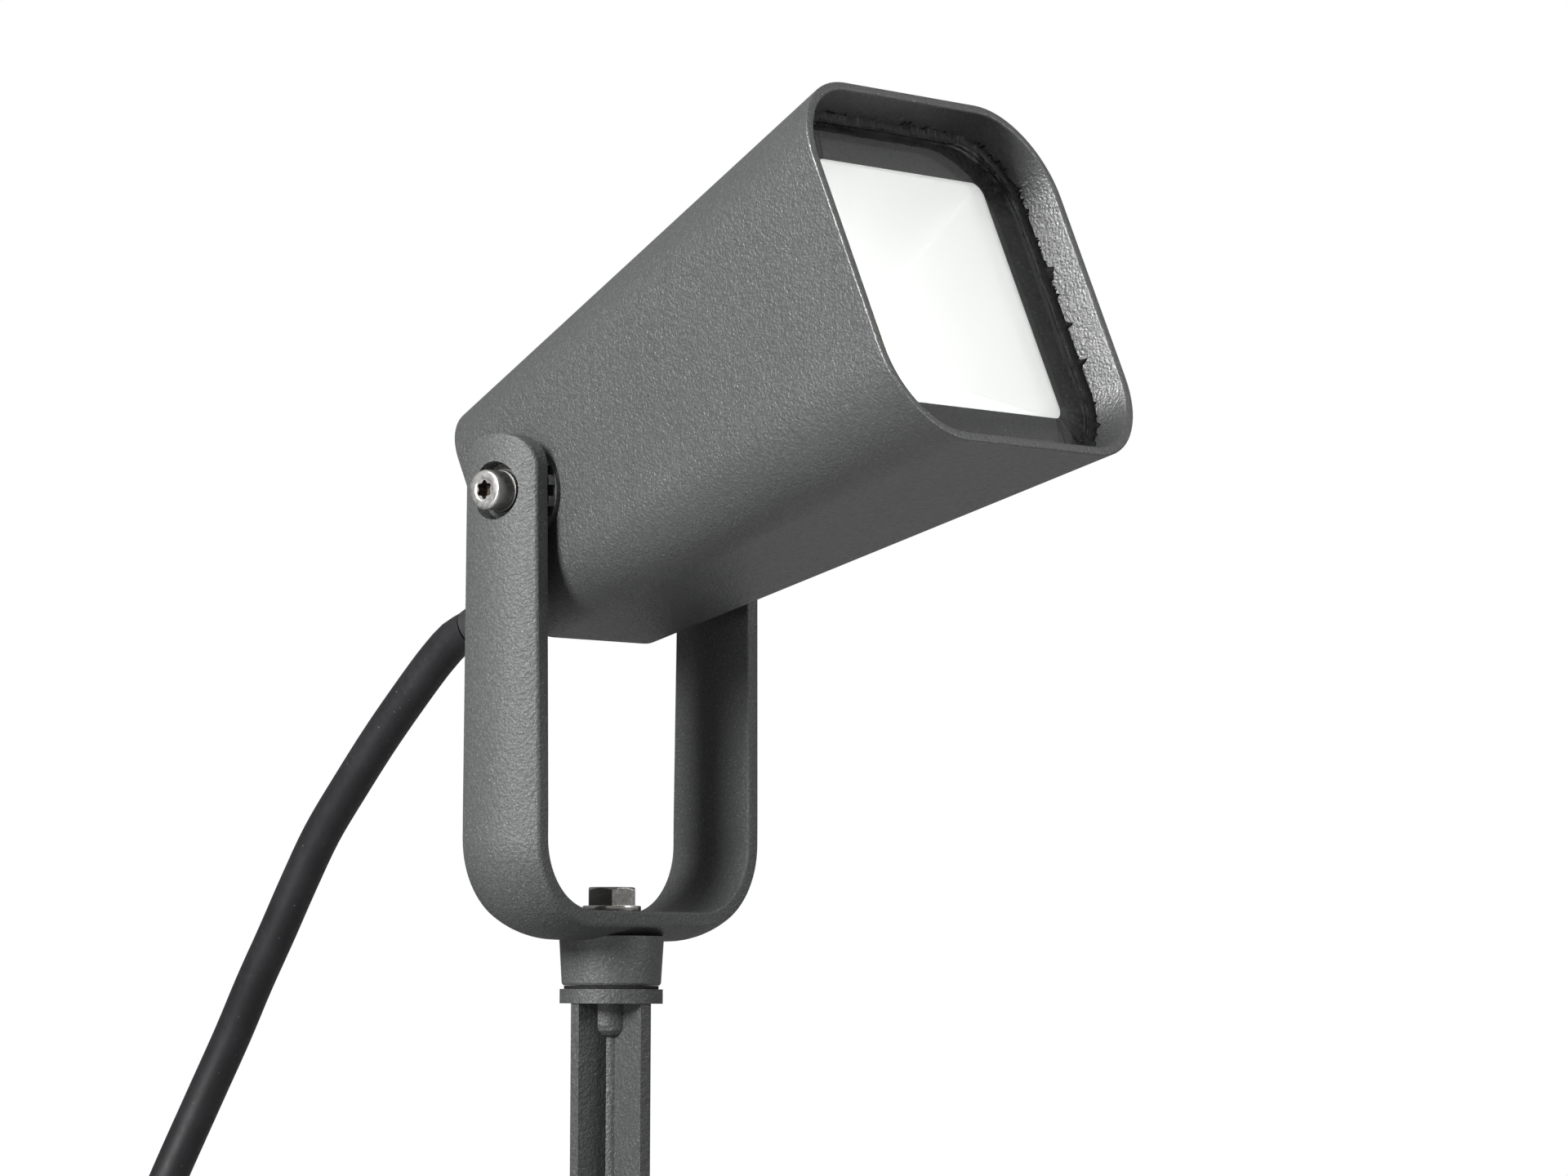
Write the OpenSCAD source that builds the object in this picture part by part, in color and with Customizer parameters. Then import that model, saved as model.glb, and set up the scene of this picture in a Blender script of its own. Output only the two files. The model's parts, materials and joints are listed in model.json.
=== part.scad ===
// Garden spike spotlight: a square tapered lamp head that tilts in a U-bracket,
// on a ground stake, with its mains lead wound into a coil behind it.
// The stake's tip is the origin, +Z is up, X is the tilt axis, and the beam leaves towards -Y.

/* [Stake] */
// Height of the stake, tip to flange top
stake_h = 223; // [180:1:280]
// Diameter of the flange
flange_d = 22.2; // [20:0.2:26]
// Thickness of the flange
flange_t = 3.1; // [2:0.1:5]
// Width of the crossed ribs, tip to tip
rib_w = 21.3; // [18:0.1:22]
// Thickness of one rib
rib_t = 2.5; // [2:0.1:4]
// Length of the pointed end
point_l = 48; // [30:1:80]

/* [Bracket] */
// Width over the straight edges of the arms
bracket_w = 73; // [71:0.5:76]
// Thickness of the strip at its edges
strip_edge_t = 3.5; // [3:0.1:4.5]
// Height of the rounded outside above the edges
strip_bulge = 2.8; // [1.5:0.1:3.5]
// Width of the arm at the tilt axis
arm_w_top = 20; // [18:0.2:21]
// Width of the arm at the bottom bend
arm_w_low = 21.8; // [20:0.2:24]
// Depth of the U below the tilt axis, inside
u_depth = 88.4; // [80:0.5:110]
// Inner radius of the bottom bends
bend_r = 15; // [8:1:20]
// Height of the arms above the tilt axis
arm_rise = 12.2; // [10:0.2:14]

/* [Lamp head] */
// Rest angle of the beam above the horizontal
head_tilt = 23.5; // [-26:0.5:88]
// Width of the hood's front
front_w = 84; // [78:1:90]
// Height of the hood's front
front_h = 83; // [78:1:90]
// Corner radius at the front
front_r = 20; // [14:1:24]
// Side of the square rear
rear_w = 54.5; // [50:0.5:58]
// Corner radius at the rear
rear_r = 12.5; // [8:0.5:16]
// Distance from the tilt axis to the front rim
front_reach = 107; // [95:1:120]
// Distance from the tilt axis to the rear face
rear_reach = 16; // [14:1:24]
// Depth of the glass behind the rim
glass_depth = 8; // [5:0.5:14]
// Thickness of the glass
glass_t = 3; // [2:0.5:5]
// Side of the clear window in the glass
window_w = 56; // [48:1:62]

/* [Mains lead] */
// Diameter of the mains lead
lead_d = 8.5; // [7:0.5:10]
// Diameter of the coil at the middle of its turns
coil_d = 94; // [86:1:100]

/* [Hidden] */
$fn = 64;
eps = 0.02;

// Colours
coat = [0.43, 0.44, 0.44];
steel = [0.78, 0.78, 0.76];
rubber = [0.06, 0.06, 0.06];
white = [0.96, 0.96, 0.95];
brass = [0.80, 0.65, 0.30];

// Heights
pivot_rise = 105.1;
pivot_z = stake_h + pivot_rise;
u_floor_z = pivot_z - u_depth;

// Bracket strip: flat inside, arc outside
strip_t = strip_edge_t + strip_bulge;
strip_half_chord = 10.45;
strip_r = (pow(strip_half_chord, 2) + pow(strip_bulge, 2)) / (2 * strip_bulge);
strip_blank_w = 24;
arm_inner_x = bracket_w / 2 - strip_edge_t;
arm_outer_x = arm_inner_x + strip_t;
arm_top_r = 8.5;

// Tilt joint
tilt_screw_d = 5.05;
tilt_bore_d = 5.2;
counterbore_d = 12.4;
counterbore_depth = 4.2;
seat_x = arm_outer_x - counterbore_depth;
flat_washer_t = 0.9;
spring_washer_t = 1.3;
tilt_head_h = 5;
pad_x = 29.6;
pad_d = 22;
disc_d = 21;
disc_rim_t = 1.4;
disc_play = 0.1;
disc_teeth = 14;

// Pan joint
pan_bolt_d = 6.05;
pan_bore_d = 6.2;
collar_top_d = 22.6;
collar_low_d = 21.4;
friction_t = 0.8;
boss_d = 10.6;
insert_l = 8.5;
bolt_reach = 8;
core_d = 5.7;
rib_turn = -6;

// Head
wall_t = 2.1;
glass_y = -front_reach + glass_depth;
glass_back_y = glass_y + glass_t;
border_t = 0.2;
ledge_y = glass_back_y + border_t;
glass_gap = 1.6;
cavity_front = 71.6;
cavity_rear = 50;
cavity_end_y = rear_reach - 3;
head_rise = 1.5;
led_y = -75;
reflector_low_w = 16;
led_screw_xz = 11.3;
reflector_t = 1.2;
plate_t = 3;
plate_w = 60;
board_t = 1.6;
gland_drop = 9;
gland_bore_d = 16;
gland_hex_t = 4;
nut_l = 8;
sleeve_l = 20;

// Mains lead: middle of the cord, measured from the tilt axis, in the plane x = 0
lead_route = [
    [0, 41.4, -26.2], [0, 46, -28.2], [0, 51, -32.2], [0, 57, -38], [0, 67.5, -49], [0, 77, -60],
    [0, 85.5, -70.5], [0, 92.5, -81.5], [0, 99, -92.5], [0, 106, -104], [0, 112.5, -115.5], [-2, 120, -131],
    [-6, 127, -149], [-11.5, 132.8, -169], [-18, 136.6, -190], [-24.5, 138.7, -210], [-31, 139.3, -230],
    [-37.5, 139.3, -250], [-42.5, 139.3, -268], [-44.5, 139.3, -284], [-41.5, 139.3, -298.5],
    [-34, 139.3, -310.5], [-23, 139.3, -318.8], [-10, 139.3, -322.8], [3, 139.2, -323]
];
// Gap under the coil, which the tie's strap fills
coil_lift = 0.9;
coil_y = 88;
coil_rows = 2;
plug_len = 36;
plug_d = 38;
boot_l = 24;
plug_x = -69;
plug_y = 117.5;
plug_z = plug_d / 2 + 0.1;
// Tail from the coil to the plug, measured from the stake's tip
tail_route = [
    [-39.8, 55.8, 13.7], [-46.1, 63.6, 13.8], [-52.2, 71.5, 14.3], [-57.8, 79.7, 15.3], [-62.5, 88.5, 16.6],
    [-66, 97.8, 18], [-68.2, 107.5, 18.9], [-69, 117.5, 19.1]
];

// ---------- helpers ----------

module x_cyl(d, x0, x1, y = 0, z = 0)
    translate([x0, y, z])
        rotate([0, 90, 0])
            cylinder(d = d, h = x1 - x0);

module y_cyl(d, y0, y1, x = 0, z = 0)
    translate([x, y0, z])
        rotate([-90, 0, 0])
            cylinder(d = d, h = y1 - y0);

module y_ring(d_out, d_in, y0, y1, x = 0, z = 0)
    difference() {
        y_cyl(d_out, y0, y1, x, z);
        y_cyl(d_in, y0 - 1, y1 + 1, x, z);
    }

module at_pivot()
    translate([0, 0, pivot_z])
        children();

// Lamp head's own frame: y = 0 at the tilt axis, -Y along the beam, z = 0 at mid height
module in_head()
    at_pivot()
        rotate([-head_tilt, 0, 0])
            translate([0, 0, head_rise])
                children();

module rounded_rect(w, h, r, fn = 32)
    union() {
        square([w - 2 * r, h], center = true);
        square([w, h - 2 * r], center = true);
        for (sx = [-1, 1], sz = [-1, 1])
            translate([sx * (w / 2 - r), sz * (h / 2 - r)])
                circle(r = r, $fn = fn);
    }

// Upright plate from y0 to y1
module y_plate(w, h, r, y0, y1, fn = 64)
    translate([0, y0, 0])
        rotate([-90, 0, 0])
            linear_extrude(y1 - y0)
                rounded_rect(w, h, r, fn);

module tapered_box(w0, h0, r0, y0, w1, h1, r1, y1)
    hull() {
        y_plate(w0, h0, r0, y0, y0 + eps, 32);
        y_plate(w1, h1, r1, y1 - eps, y1, 32);
    }

// Share of the way from the front rim to the rear face
function head_share(y) = (y + front_reach) / (front_reach + rear_reach);
function head_width(y) = front_w + (rear_w - front_w) * head_share(y);
function head_height(y) = front_h + (rear_w - front_h) * head_share(y);
function head_radius(y) = front_r + (rear_r - front_r) * head_share(y);

// Taper of the head between two stations, smaller than the outside by inset all round
module head_taper(y0, y1, inset)
    tapered_box(
        head_width(y0) - 2 * inset, head_height(y0) - 2 * inset, head_radius(y0) - inset, y0,
        head_width(y1) - 2 * inset, head_height(y1) - 2 * inset, head_radius(y1) - inset, y1
    );

module hex_prism(af, h)
    cylinder(d = af / cos(30), h = h, $fn = 6);

function unit(v) = v / norm(v);

function turn_at(route, i) = unit(
    route[min(i + 1, len(route) - 1)] - route[max(i - 1, 0)]
);

// One closed tube along a route: rings of points square to the route
module cord_tube(route, d, sides = 12) {
    n = len(route);
    points = [
        for (i = [0 : n - 1])
            let (t = turn_at(route, i))
            let (a = unit(cross(t, abs(t[0]) > 0.9 ? [0, 0, 1] : [1, 0, 0])))
            let (b = cross(t, a))
            for (k = [0 : sides - 1])
                route[i] + d / 2 * (cos(360 * k / sides) * a + sin(360 * k / sides) * b)
    ];
    walls = [
        for (i = [0 : n - 2])
            for (k = [0 : sides - 1])
                let (m = (k + 1) % sides)
                [i * sides + k, i * sides + m, (i + 1) * sides + m, (i + 1) * sides + k]
    ];
    start_cap = [[for (k = [sides - 1 : -1 : 0]) k]];
    end_cap = [[for (k = [0 : sides - 1]) (n - 1) * sides + k]];
    polyhedron(points = points, faces = concat(walls, start_cap, end_cap), convexity = 6);
}

// ---------- stake ----------

module stake_profile()
    union() {
        square([rib_w, rib_t], center = true);
        square([rib_t, rib_w], center = true);
    }

module ground_stake()
    color(coat)
        difference() {
            union() {
                translate([0, 0, stake_h - flange_t])
                    cylinder(d = flange_d, h = flange_t);
                translate([0, 0, stake_h - flange_t - 4.6])
                    cylinder(d = boss_d, h = 4.6 + eps);
                translate([0, 0, stake_h - flange_t - 5.8])
                    cylinder(d1 = 0.94 * boss_d, d2 = boss_d, h = 1.2 + eps);
                translate([0, 0, stake_h - flange_t - 6.7])
                    cylinder(d1 = 0.78 * boss_d, d2 = 0.94 * boss_d, h = 0.9 + eps);
                translate([0, 0, stake_h - flange_t - 7.2])
                    cylinder(d1 = core_d, d2 = 0.78 * boss_d, h = 0.5 + eps);
                translate([0, 0, point_l])
                    cylinder(d = core_d, h = stake_h - flange_t - point_l);
                rotate([0, 0, rib_turn])
                    translate([0, 0, point_l])
                        linear_extrude(stake_h - flange_t - point_l + eps)
                            stake_profile();
                rotate([0, 0, rib_turn])
                    intersection() {
                        linear_extrude(point_l + eps)
                            stake_profile();
                        cylinder(d1 = rib_t, d2 = rib_w + 0.5, h = point_l + eps);
                    }
                cylinder(d1 = 1, d2 = core_d, h = point_l + eps);
            }
            translate([0, 0, stake_h - insert_l])
                cylinder(d = 8.2, h = insert_l + 1);
        }

module stake_insert()
    color(brass)
        difference() {
            translate([0, 0, stake_h - insert_l])
                cylinder(d = 8.2, h = insert_l);
            translate([0, 0, stake_h - insert_l - 1])
                cylinder(d = pan_bolt_d, h = insert_l + 2);
        }

module pan_bolt()
    color(steel)
        union() {
            translate([0, 0, u_floor_z + 1.2])
                rotate([0, 0, 41])
                    difference() {
                        intersection() {
                            hex_prism(10, 4);
                            cylinder(d1 = 15, d2 = 10.4, h = 4);
                        }
                        translate([0, 0, 3.8])
                            cylinder(d = 7, h = 1);
                    }
            translate([0, 0, stake_h - bolt_reach])
                cylinder(d = pan_bolt_d - eps, h = u_floor_z + 1.2 - stake_h + bolt_reach + eps);
        }

module pan_bolt_washer()
    color(steel)
        translate([0, 0, u_floor_z])
            difference() {
                cylinder(d = 12.6, h = 1.2);
                translate([0, 0, -1])
                    cylinder(d = 6.4, h = 4);
            }

module friction_washer()
    color(rubber)
        translate([0, 0, stake_h])
            difference() {
                cylinder(d = 20.4, h = friction_t - 0.05);
                translate([0, 0, -1])
                    cylinder(d = 6.6, h = 3);
            }

// ---------- bracket ----------

// Strip section: x is the width, y the thickness from the inside out
module strip_section()
    intersection() {
        translate([-strip_blank_w / 2, 0])
            square([strip_blank_w, strip_t]);
        translate([0, strip_t - strip_r])
            circle(r = strip_r, $fn = 128);
    }

// Side outline of the bracket, y against height from the tilt axis
module bracket_outline() {
    low = -u_depth - strip_t;
    difference() {
        union() {
            polygon([
                [-arm_w_low / 2, low], [arm_w_low / 2, low],
                [arm_w_low / 2, -u_depth + 20], [arm_w_top / 2, 0], [arm_w_top / 2, arm_rise - arm_top_r],
                [-arm_w_top / 2, arm_rise - arm_top_r], [-arm_w_top / 2, 0], [-arm_w_low / 2, -u_depth + 20]
            ]);
            for (s = [-1, 1])
                translate([s * (arm_w_top / 2 - arm_top_r), arm_rise - arm_top_r])
                    circle(r = arm_top_r, $fn = 64);
            translate([-arm_w_top / 2 + arm_top_r, 0])
                square([arm_w_top - 2 * arm_top_r, arm_rise]);
        }
    }
}

module bracket_arm()
    translate([arm_inner_x, 0, -u_depth + bend_r])
        rotate([0, 0, -90])
            linear_extrude(u_depth - bend_r + arm_rise)
                strip_section();

module bracket_bend()
    translate([arm_inner_x - bend_r, 0, -u_depth + bend_r])
        rotate([90, 0, 0])
            rotate([0, 0, -90])
                rotate_extrude(angle = 90, $fn = 128)
                    translate([bend_r, 0])
                        rotate([0, 0, -90])
                            mirror([1, 0])
                                strip_section();

module bracket_floor()
    translate([-arm_inner_x + bend_r, 0, -u_depth])
        rotate([0, 90, 0])
            linear_extrude(2 * (arm_inner_x - bend_r))
                rotate([0, 0, -90])
                    strip_section();

module u_bracket()
    color(coat)
        at_pivot()
            difference() {
                intersection() {
                    union() {
                        for (s = [0, 1])
                            mirror([s, 0, 0]) {
                                bracket_arm();
                                bracket_bend();
                            }
                        bracket_floor();
                    }
                    translate([-50, 0, 0])
                        rotate([90, 0, 90])
                            linear_extrude(100)
                                bracket_outline();
                }
                x_cyl(tilt_bore_d, -50, 50);
                x_cyl(counterbore_d, seat_x, 50);
                x_cyl(counterbore_d, -50, -seat_x);
                translate([0, 0, -u_depth - 10])
                    cylinder(d = pan_bore_d, h = 20);
            }

module swivel_collar()
    color(coat)
        difference() {
            translate([0, 0, stake_h + friction_t])
                union() {
                    translate([0, 0, 0.5])
                        cylinder(d1 = collar_low_d, d2 = collar_top_d, h = 10.1);
                    cylinder(d1 = collar_low_d - 0.7, d2 = collar_low_d, h = 0.5 + eps);
                }
            at_pivot()
                x_cyl(2 * strip_r, -30, 30, 0, -u_depth - strip_t + strip_r);
            translate([0, 0, stake_h - 1])
                cylinder(d = pan_bore_d, h = 20);
        }

// ---------- lamp head ----------

module lamp_housing()
    color(coat)
        difference() {
            union() {
                in_head()
                    difference() {
                        head_taper(-front_reach, rear_reach, 0);
                        head_taper(-front_reach - 1, ledge_y, wall_t);
                        tapered_box(cavity_front, cavity_front, 16, ledge_y - eps,
                                    cavity_rear, cavity_rear, 9.5, cavity_end_y);
                    }
                at_pivot()
                    for (s = [0, 1])
                        mirror([s, 0, 0]) {
                            x_cyl(pad_d, 26.5, pad_x);
                            x_cyl(13, 20, 27);
                        }
                in_head()
                    for (sx = [-1, 1], sz = [-1, 1])
                        translate([sx * 25, 0, sz * 25])
                            y_cyl(8, led_y + plate_t + board_t, led_y + 28);
            }
            at_pivot()
                for (s = [0, 1])
                    mirror([s, 0, 0]) {
                        x_cyl(pad_d, pad_x, 33);
                        x_cyl(tilt_bore_d, 19, 33);
                    }
            in_head() {
                y_cyl(gland_bore_d, cavity_end_y - 1, rear_reach + 1, 0, -gland_drop);
                for (sx = [-1, 1], sz = [-1, 1])
                    y_cyl(3, led_y + 4, led_y + 18, sx * 25, sz * 25);
            }
        }

module front_glass()
    color([0.85, 0.90, 0.90, 0.4])
        in_head()
            y_plate(
                head_width(glass_y) - 2 * wall_t - 2 * glass_gap,
                head_height(glass_y) - 2 * wall_t - 2 * glass_gap,
                head_radius(glass_y) - wall_t - glass_gap, glass_y, glass_back_y
            );

module glass_border()
    color(rubber)
        in_head()
            difference() {
                y_plate(
                    head_width(glass_y) - 2 * wall_t - 2 * glass_gap - 0.6,
                    head_height(glass_y) - 2 * wall_t - 2 * glass_gap - 0.6,
                    15, glass_back_y, ledge_y
                );
                y_plate(window_w, window_w, 6, glass_back_y - 1, ledge_y + 1);
            }

module glass_seal()
    color(rubber)
        in_head()
            difference() {
                head_taper(glass_y - 0.5, glass_back_y, wall_t + 0.05);
                y_plate(
                    head_width(glass_y) - 2 * wall_t - 2 * glass_gap + 0.1,
                    head_height(glass_y) - 2 * wall_t - 2 * glass_gap + 0.1,
                    head_radius(glass_y) - wall_t - glass_gap, glass_y - 2, glass_back_y + 2
                );
            }

// Square pyramid frustum along Y, widths across the flats
module y_pyramid(w0, y0, w1, y1)
    translate([0, y0, 0])
        rotate([-90, 0, 0])
            rotate([0, 0, 45])
                cylinder(d1 = w0 * sqrt(2), d2 = w1 * sqrt(2), h = y1 - y0, $fn = 4);

module reflector() {
    top_y = ledge_y + 0.3;
    color(white)
        in_head()
            difference() {
                union() {
                    y_plate(window_w + 8, window_w + 8, 8, top_y, top_y + 1.5);
                    y_pyramid(window_w + 2 * reflector_t, top_y + 1.4, reflector_low_w + 2 * reflector_t, led_y);
                }
                y_pyramid(window_w + 1, top_y - eps, reflector_low_w, led_y + eps);
                for (s = [-1, 1])
                    y_cyl(6, led_y - 2.2, led_y + 1, s * led_screw_xz, s * led_screw_xz);
            }
}

module led_board()
    color([0.90, 0.90, 0.88])
        in_head()
            difference() {
                translate([-14, led_y, -14])
                    cube([28, board_t, 28]);
                for (s = [-1, 1])
                    y_cyl(3.2, led_y - 1, led_y + 4, s * led_screw_xz, s * led_screw_xz);
            }

module led_emitter()
    color([0.98, 0.85, 0.35])
        in_head()
            y_cyl(12, led_y - 0.6, led_y);

module led_screws()
    color(steel)
        in_head()
            for (s = [-1, 1]) {
                y_cyl(5, led_y - 1.8, led_y, s * led_screw_xz, s * led_screw_xz);
                y_cyl(3, led_y - eps, led_y + board_t + plate_t, s * led_screw_xz, s * led_screw_xz);
            }

module thermal_pad()
    color([0.55, 0.62, 0.68])
        in_head()
            difference() {
                translate([-13.5, led_y + board_t, -13.5])
                    cube([27, 0.5, 27]);
                for (s = [-1, 1])
                    y_cyl(3.4, led_y, led_y + 4, s * led_screw_xz, s * led_screw_xz);
            }

module mounting_plate()
    color([0.75, 0.76, 0.78])
        in_head()
            difference() {
                y_plate(plate_w, plate_w, 8, led_y + board_t + 0.5, led_y + board_t + plate_t);
                for (s = [-1, 1])
                    y_cyl(3, led_y, led_y + 8, s * led_screw_xz, s * led_screw_xz);
                for (sx = [-1, 1], sz = [-1, 1])
                    y_cyl(3.4, led_y, led_y + 8, sx * 25, sz * 25);
                y_cyl(8, led_y, led_y + 8, 0, 22);
            }

module plate_screws()
    color(steel)
        in_head()
            for (sx = [-1, 1], sz = [-1, 1]) {
                y_cyl(5.5, led_y + board_t - 1.5, led_y + board_t + 0.5, sx * 25, sz * 25);
                y_cyl(2.95, led_y + board_t, led_y + 14, sx * 25, sz * 25);
            }

module driver_case()
    color([0.92, 0.92, 0.90])
        in_head()
            translate([-20, -62, 2])
                cube([40, 56, 20]);

module driver_strap()
    color(steel)
        in_head()
            difference() {
                translate([-21.5, -36, -0.3])
                    cube([43, 8, 23.5]);
                translate([-20.1, -37, 1.9])
                    cube([40.2, 10, 20.2]);
            }

module terminal_block()
    color([0.90, 0.88, 0.82])
        in_head()
            difference() {
                translate([-13, -34, -20])
                    cube([26, 18, 12]);
                for (i = [-1 : 1])
                    y_cyl(3.2, -35, -15, i * 8, -14);
            }

module earth_screw()
    color(brass)
        in_head() {
            y_cyl(7, 8, 10.5, 17, 14);
            y_cyl(4, 10.4, cavity_end_y, 17, 14);
        }

module earth_ring_tag()
    color(steel)
        in_head()
            difference() {
                union() {
                    y_cyl(8.5, 10.6, 11.4, 17, 14);
                    translate([15, 10.6, 2])
                        cube([4, 0.8, 9]);
                }
                y_cyl(4.2, 9, 13, 17, 14);
            }

// Friction disc whose teeth bear on the arm, on the +X side
module tilt_disc() {
    tooth_turn = 360 / disc_teeth;
    face_x = arm_inner_x - disc_play;
    difference() {
        union() {
            x_cyl(disc_d, pad_x, pad_x + disc_rim_t);
            difference() {
                x_cyl(disc_d - 0.6, pad_x, face_x);
                for (i = [0 : disc_teeth - 1])
                    rotate([tooth_turn * (i + 0.5), 0, 0])
                        translate([pad_x + disc_rim_t, -1.2, disc_d / 2 - 3])
                            cube([5, 2.4, 5]);
            }
        }
        x_cyl(6, pad_x - 1, 40);
    }
}

module tilt_disc_right()
    color(coat)
        at_pivot()
            tilt_disc();

module tilt_disc_left()
    color(coat)
        at_pivot()
            mirror([1, 0, 0])
                tilt_disc();

module both_sides()
    at_pivot()
        for (s = [0, 1])
            mirror([s, 0, 0])
                children();

// Six-lobed drive recess, 4.2 mm across its lobes
module lobed_recess() {
    circle(d = 3.2);
    for (i = [0 : 5])
        rotate(60 * i)
            translate([1.5, 0])
                circle(d = 1.2, $fn = 24);
}

module tilt_screws() {
    head_x = seat_x + flat_washer_t + spring_washer_t;
    color(steel)
        both_sides()
            difference() {
                union() {
                    x_cyl(8.5, head_x, head_x + tilt_head_h - 0.5);
                    translate([head_x + tilt_head_h - 0.5 - eps, 0, 0])
                        rotate([0, 90, 0])
                            cylinder(d1 = 8.5, d2 = 7.5, h = 0.5 + eps);
                    x_cyl(tilt_screw_d, 20, head_x + eps);
                }
                translate([head_x + 2.2, 0, 0])
                    rotate([0, 90, 0])
                        linear_extrude(5)
                            lobed_recess();
            }
}

module tilt_flat_washers()
    color(steel)
        both_sides()
            difference() {
                x_cyl(10, seat_x, seat_x + flat_washer_t);
                x_cyl(5.3, seat_x - 1, seat_x + 3);
            }

module tilt_spring_washers() {
    x0 = seat_x + flat_washer_t;
    color(steel)
        both_sides()
            difference() {
                x_cyl(9.2, x0, x0 + spring_washer_t);
                x_cyl(5.3, x0 - 1, x0 + 3);
                translate([x0 - 1, -0.4, 0])
                    cube([4, 0.8, 8]);
            }
}

// ---------- cable gland ----------

module gland_body()
    color(rubber)
        in_head()
            difference() {
                union() {
                    y_cyl(gland_bore_d - 0.1, cavity_end_y - 5, rear_reach, 0, -gland_drop);
                    translate([0, rear_reach, -gland_drop])
                        rotate([-90, 0, 0])
                            hex_prism(20, gland_hex_t);
                    y_cyl(15, rear_reach + gland_hex_t - eps, rear_reach + gland_hex_t + 7, 0, -gland_drop);
                }
                y_cyl(11.5, cavity_end_y - 6, rear_reach + 20, 0, -gland_drop);
            }

module gland_locknut()
    color(rubber)
        in_head()
            difference() {
                translate([0, cavity_end_y - 4, -gland_drop])
                    rotate([-90, 0, 0])
                        hex_prism(21, 4);
                y_cyl(gland_bore_d, cavity_end_y - 5, cavity_end_y + 1, 0, -gland_drop);
            }

module gland_seal()
    color(rubber)
        in_head()
            y_ring(11.4, lead_d, rear_reach + 1, rear_reach + gland_hex_t + nut_l, 0, -gland_drop);

module gland_nut() {
    nut_y = rear_reach + gland_hex_t + 0.2;
    color(rubber)
        in_head()
            difference() {
                union() {
                    translate([0, nut_y, -gland_drop])
                        rotate([-90, 0, 0])
                            hex_prism(19, nut_l);
                    translate([0, nut_y + nut_l - eps, -gland_drop])
                        rotate([-90, 0, 0])
                            cylinder(d1 = 18, d2 = 14, h = 3);
                }
                y_cyl(15.1, nut_y - 1, nut_y + nut_l, 0, -gland_drop);
                y_cyl(lead_d + 3.3, nut_y, nut_y + 12, 0, -gland_drop);
            }
}

// Tapered strain relief, its thick end held in the nut
module gland_sleeve() {
    sleeve_y = rear_reach + gland_hex_t + nut_l;
    color(rubber)
        in_head()
            union() {
                y_cyl(lead_d + 3.1, sleeve_y, sleeve_y + 3.5, 0, -gland_drop);
                translate([0, sleeve_y + 3.5 - eps, -gland_drop])
                    rotate([-90, 0, 0])
                        cylinder(d1 = lead_d + 3.1, d2 = lead_d + 0.6, h = sleeve_l - 3.5);
            }
}

// ---------- mains lead ----------

module mains_lead()
    color(rubber)
        at_pivot()
            cord_tube(lead_route, lead_d);

module lead_coil()
    color(rubber)
        translate([0, coil_y, 0])
            rotate_extrude($fn = 96)
                union() {
                    translate([coil_d / 2 - lead_d, coil_lift])
                        square([2 * lead_d, (coil_rows - 0.5) * lead_d]);
                    for (s = [-1, 1])
                        translate([coil_d / 2 + s * lead_d / 2, coil_lift + (coil_rows - 0.5) * lead_d])
                            circle(d = lead_d, $fn = 32);
                }

module coil_tie() {
    strap_w = 10;
    bundle_w = 2 * lead_d;
    bundle_h = coil_rows * lead_d;
    color([0.12, 0.12, 0.12])
        translate([0, coil_y, 0])
            rotate([0, 0, -55])
                translate([coil_d / 2, strap_w / 2, 0])
                    rotate([90, 0, 0])
                        linear_extrude(strap_w)
                            difference() {
                                translate([-bundle_w / 2 - 1.2, 0.05])
                                    square([bundle_w + 2.4, bundle_h + coil_lift + 0.9]);
                                translate([-bundle_w / 2 - 0.3, coil_lift - 0.05])
                                    square([bundle_w + 0.6, bundle_h + 0.15]);
                            }
}

module lead_tail()
    color(rubber)
        cord_tube(tail_route, lead_d);

// Plug's own frame: +Y from the cord towards the pins, origin where the boot starts
module in_plug()
    translate([plug_x, plug_y, plug_z])
        children();

module plug_boot()
    color(rubber)
        in_plug()
            rotate([-90, 0, 0])
                cylinder(d1 = lead_d + 2, d2 = 15, h = boot_l);

module plug_body()
    color(rubber)
        in_plug()
            difference() {
                union() {
                    translate([0, boot_l, 0])
                        rotate([-90, 0, 0])
                            cylinder(d1 = 26, d2 = plug_d, h = 12);
                    y_cyl(plug_d, boot_l + 12 - eps, boot_l + plug_len);
                }
                for (s = [-1, 1])
                    translate([-4, boot_l + 14, s * 18.2 - 2])
                        cube([8, plug_len, 4]);
            }

module plug_pins()
    color(steel)
        in_plug()
            for (s = [-1, 1]) {
                y_cyl(4.8, boot_l + plug_len, boot_l + plug_len + 18, s * 9.5, 0);
                translate([s * 9.5, boot_l + plug_len + 18 - eps, 0])
                    rotate([-90, 0, 0])
                        cylinder(d1 = 4.8, d2 = 3, h = 1);
            }

module plug_earth_strips()
    color(brass)
        in_plug()
            for (s = [-1, 1])
                translate([-3, boot_l + 15, s * 16.8 - 0.6])
                    cube([6, plug_len - 15, 1.2]);

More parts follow.
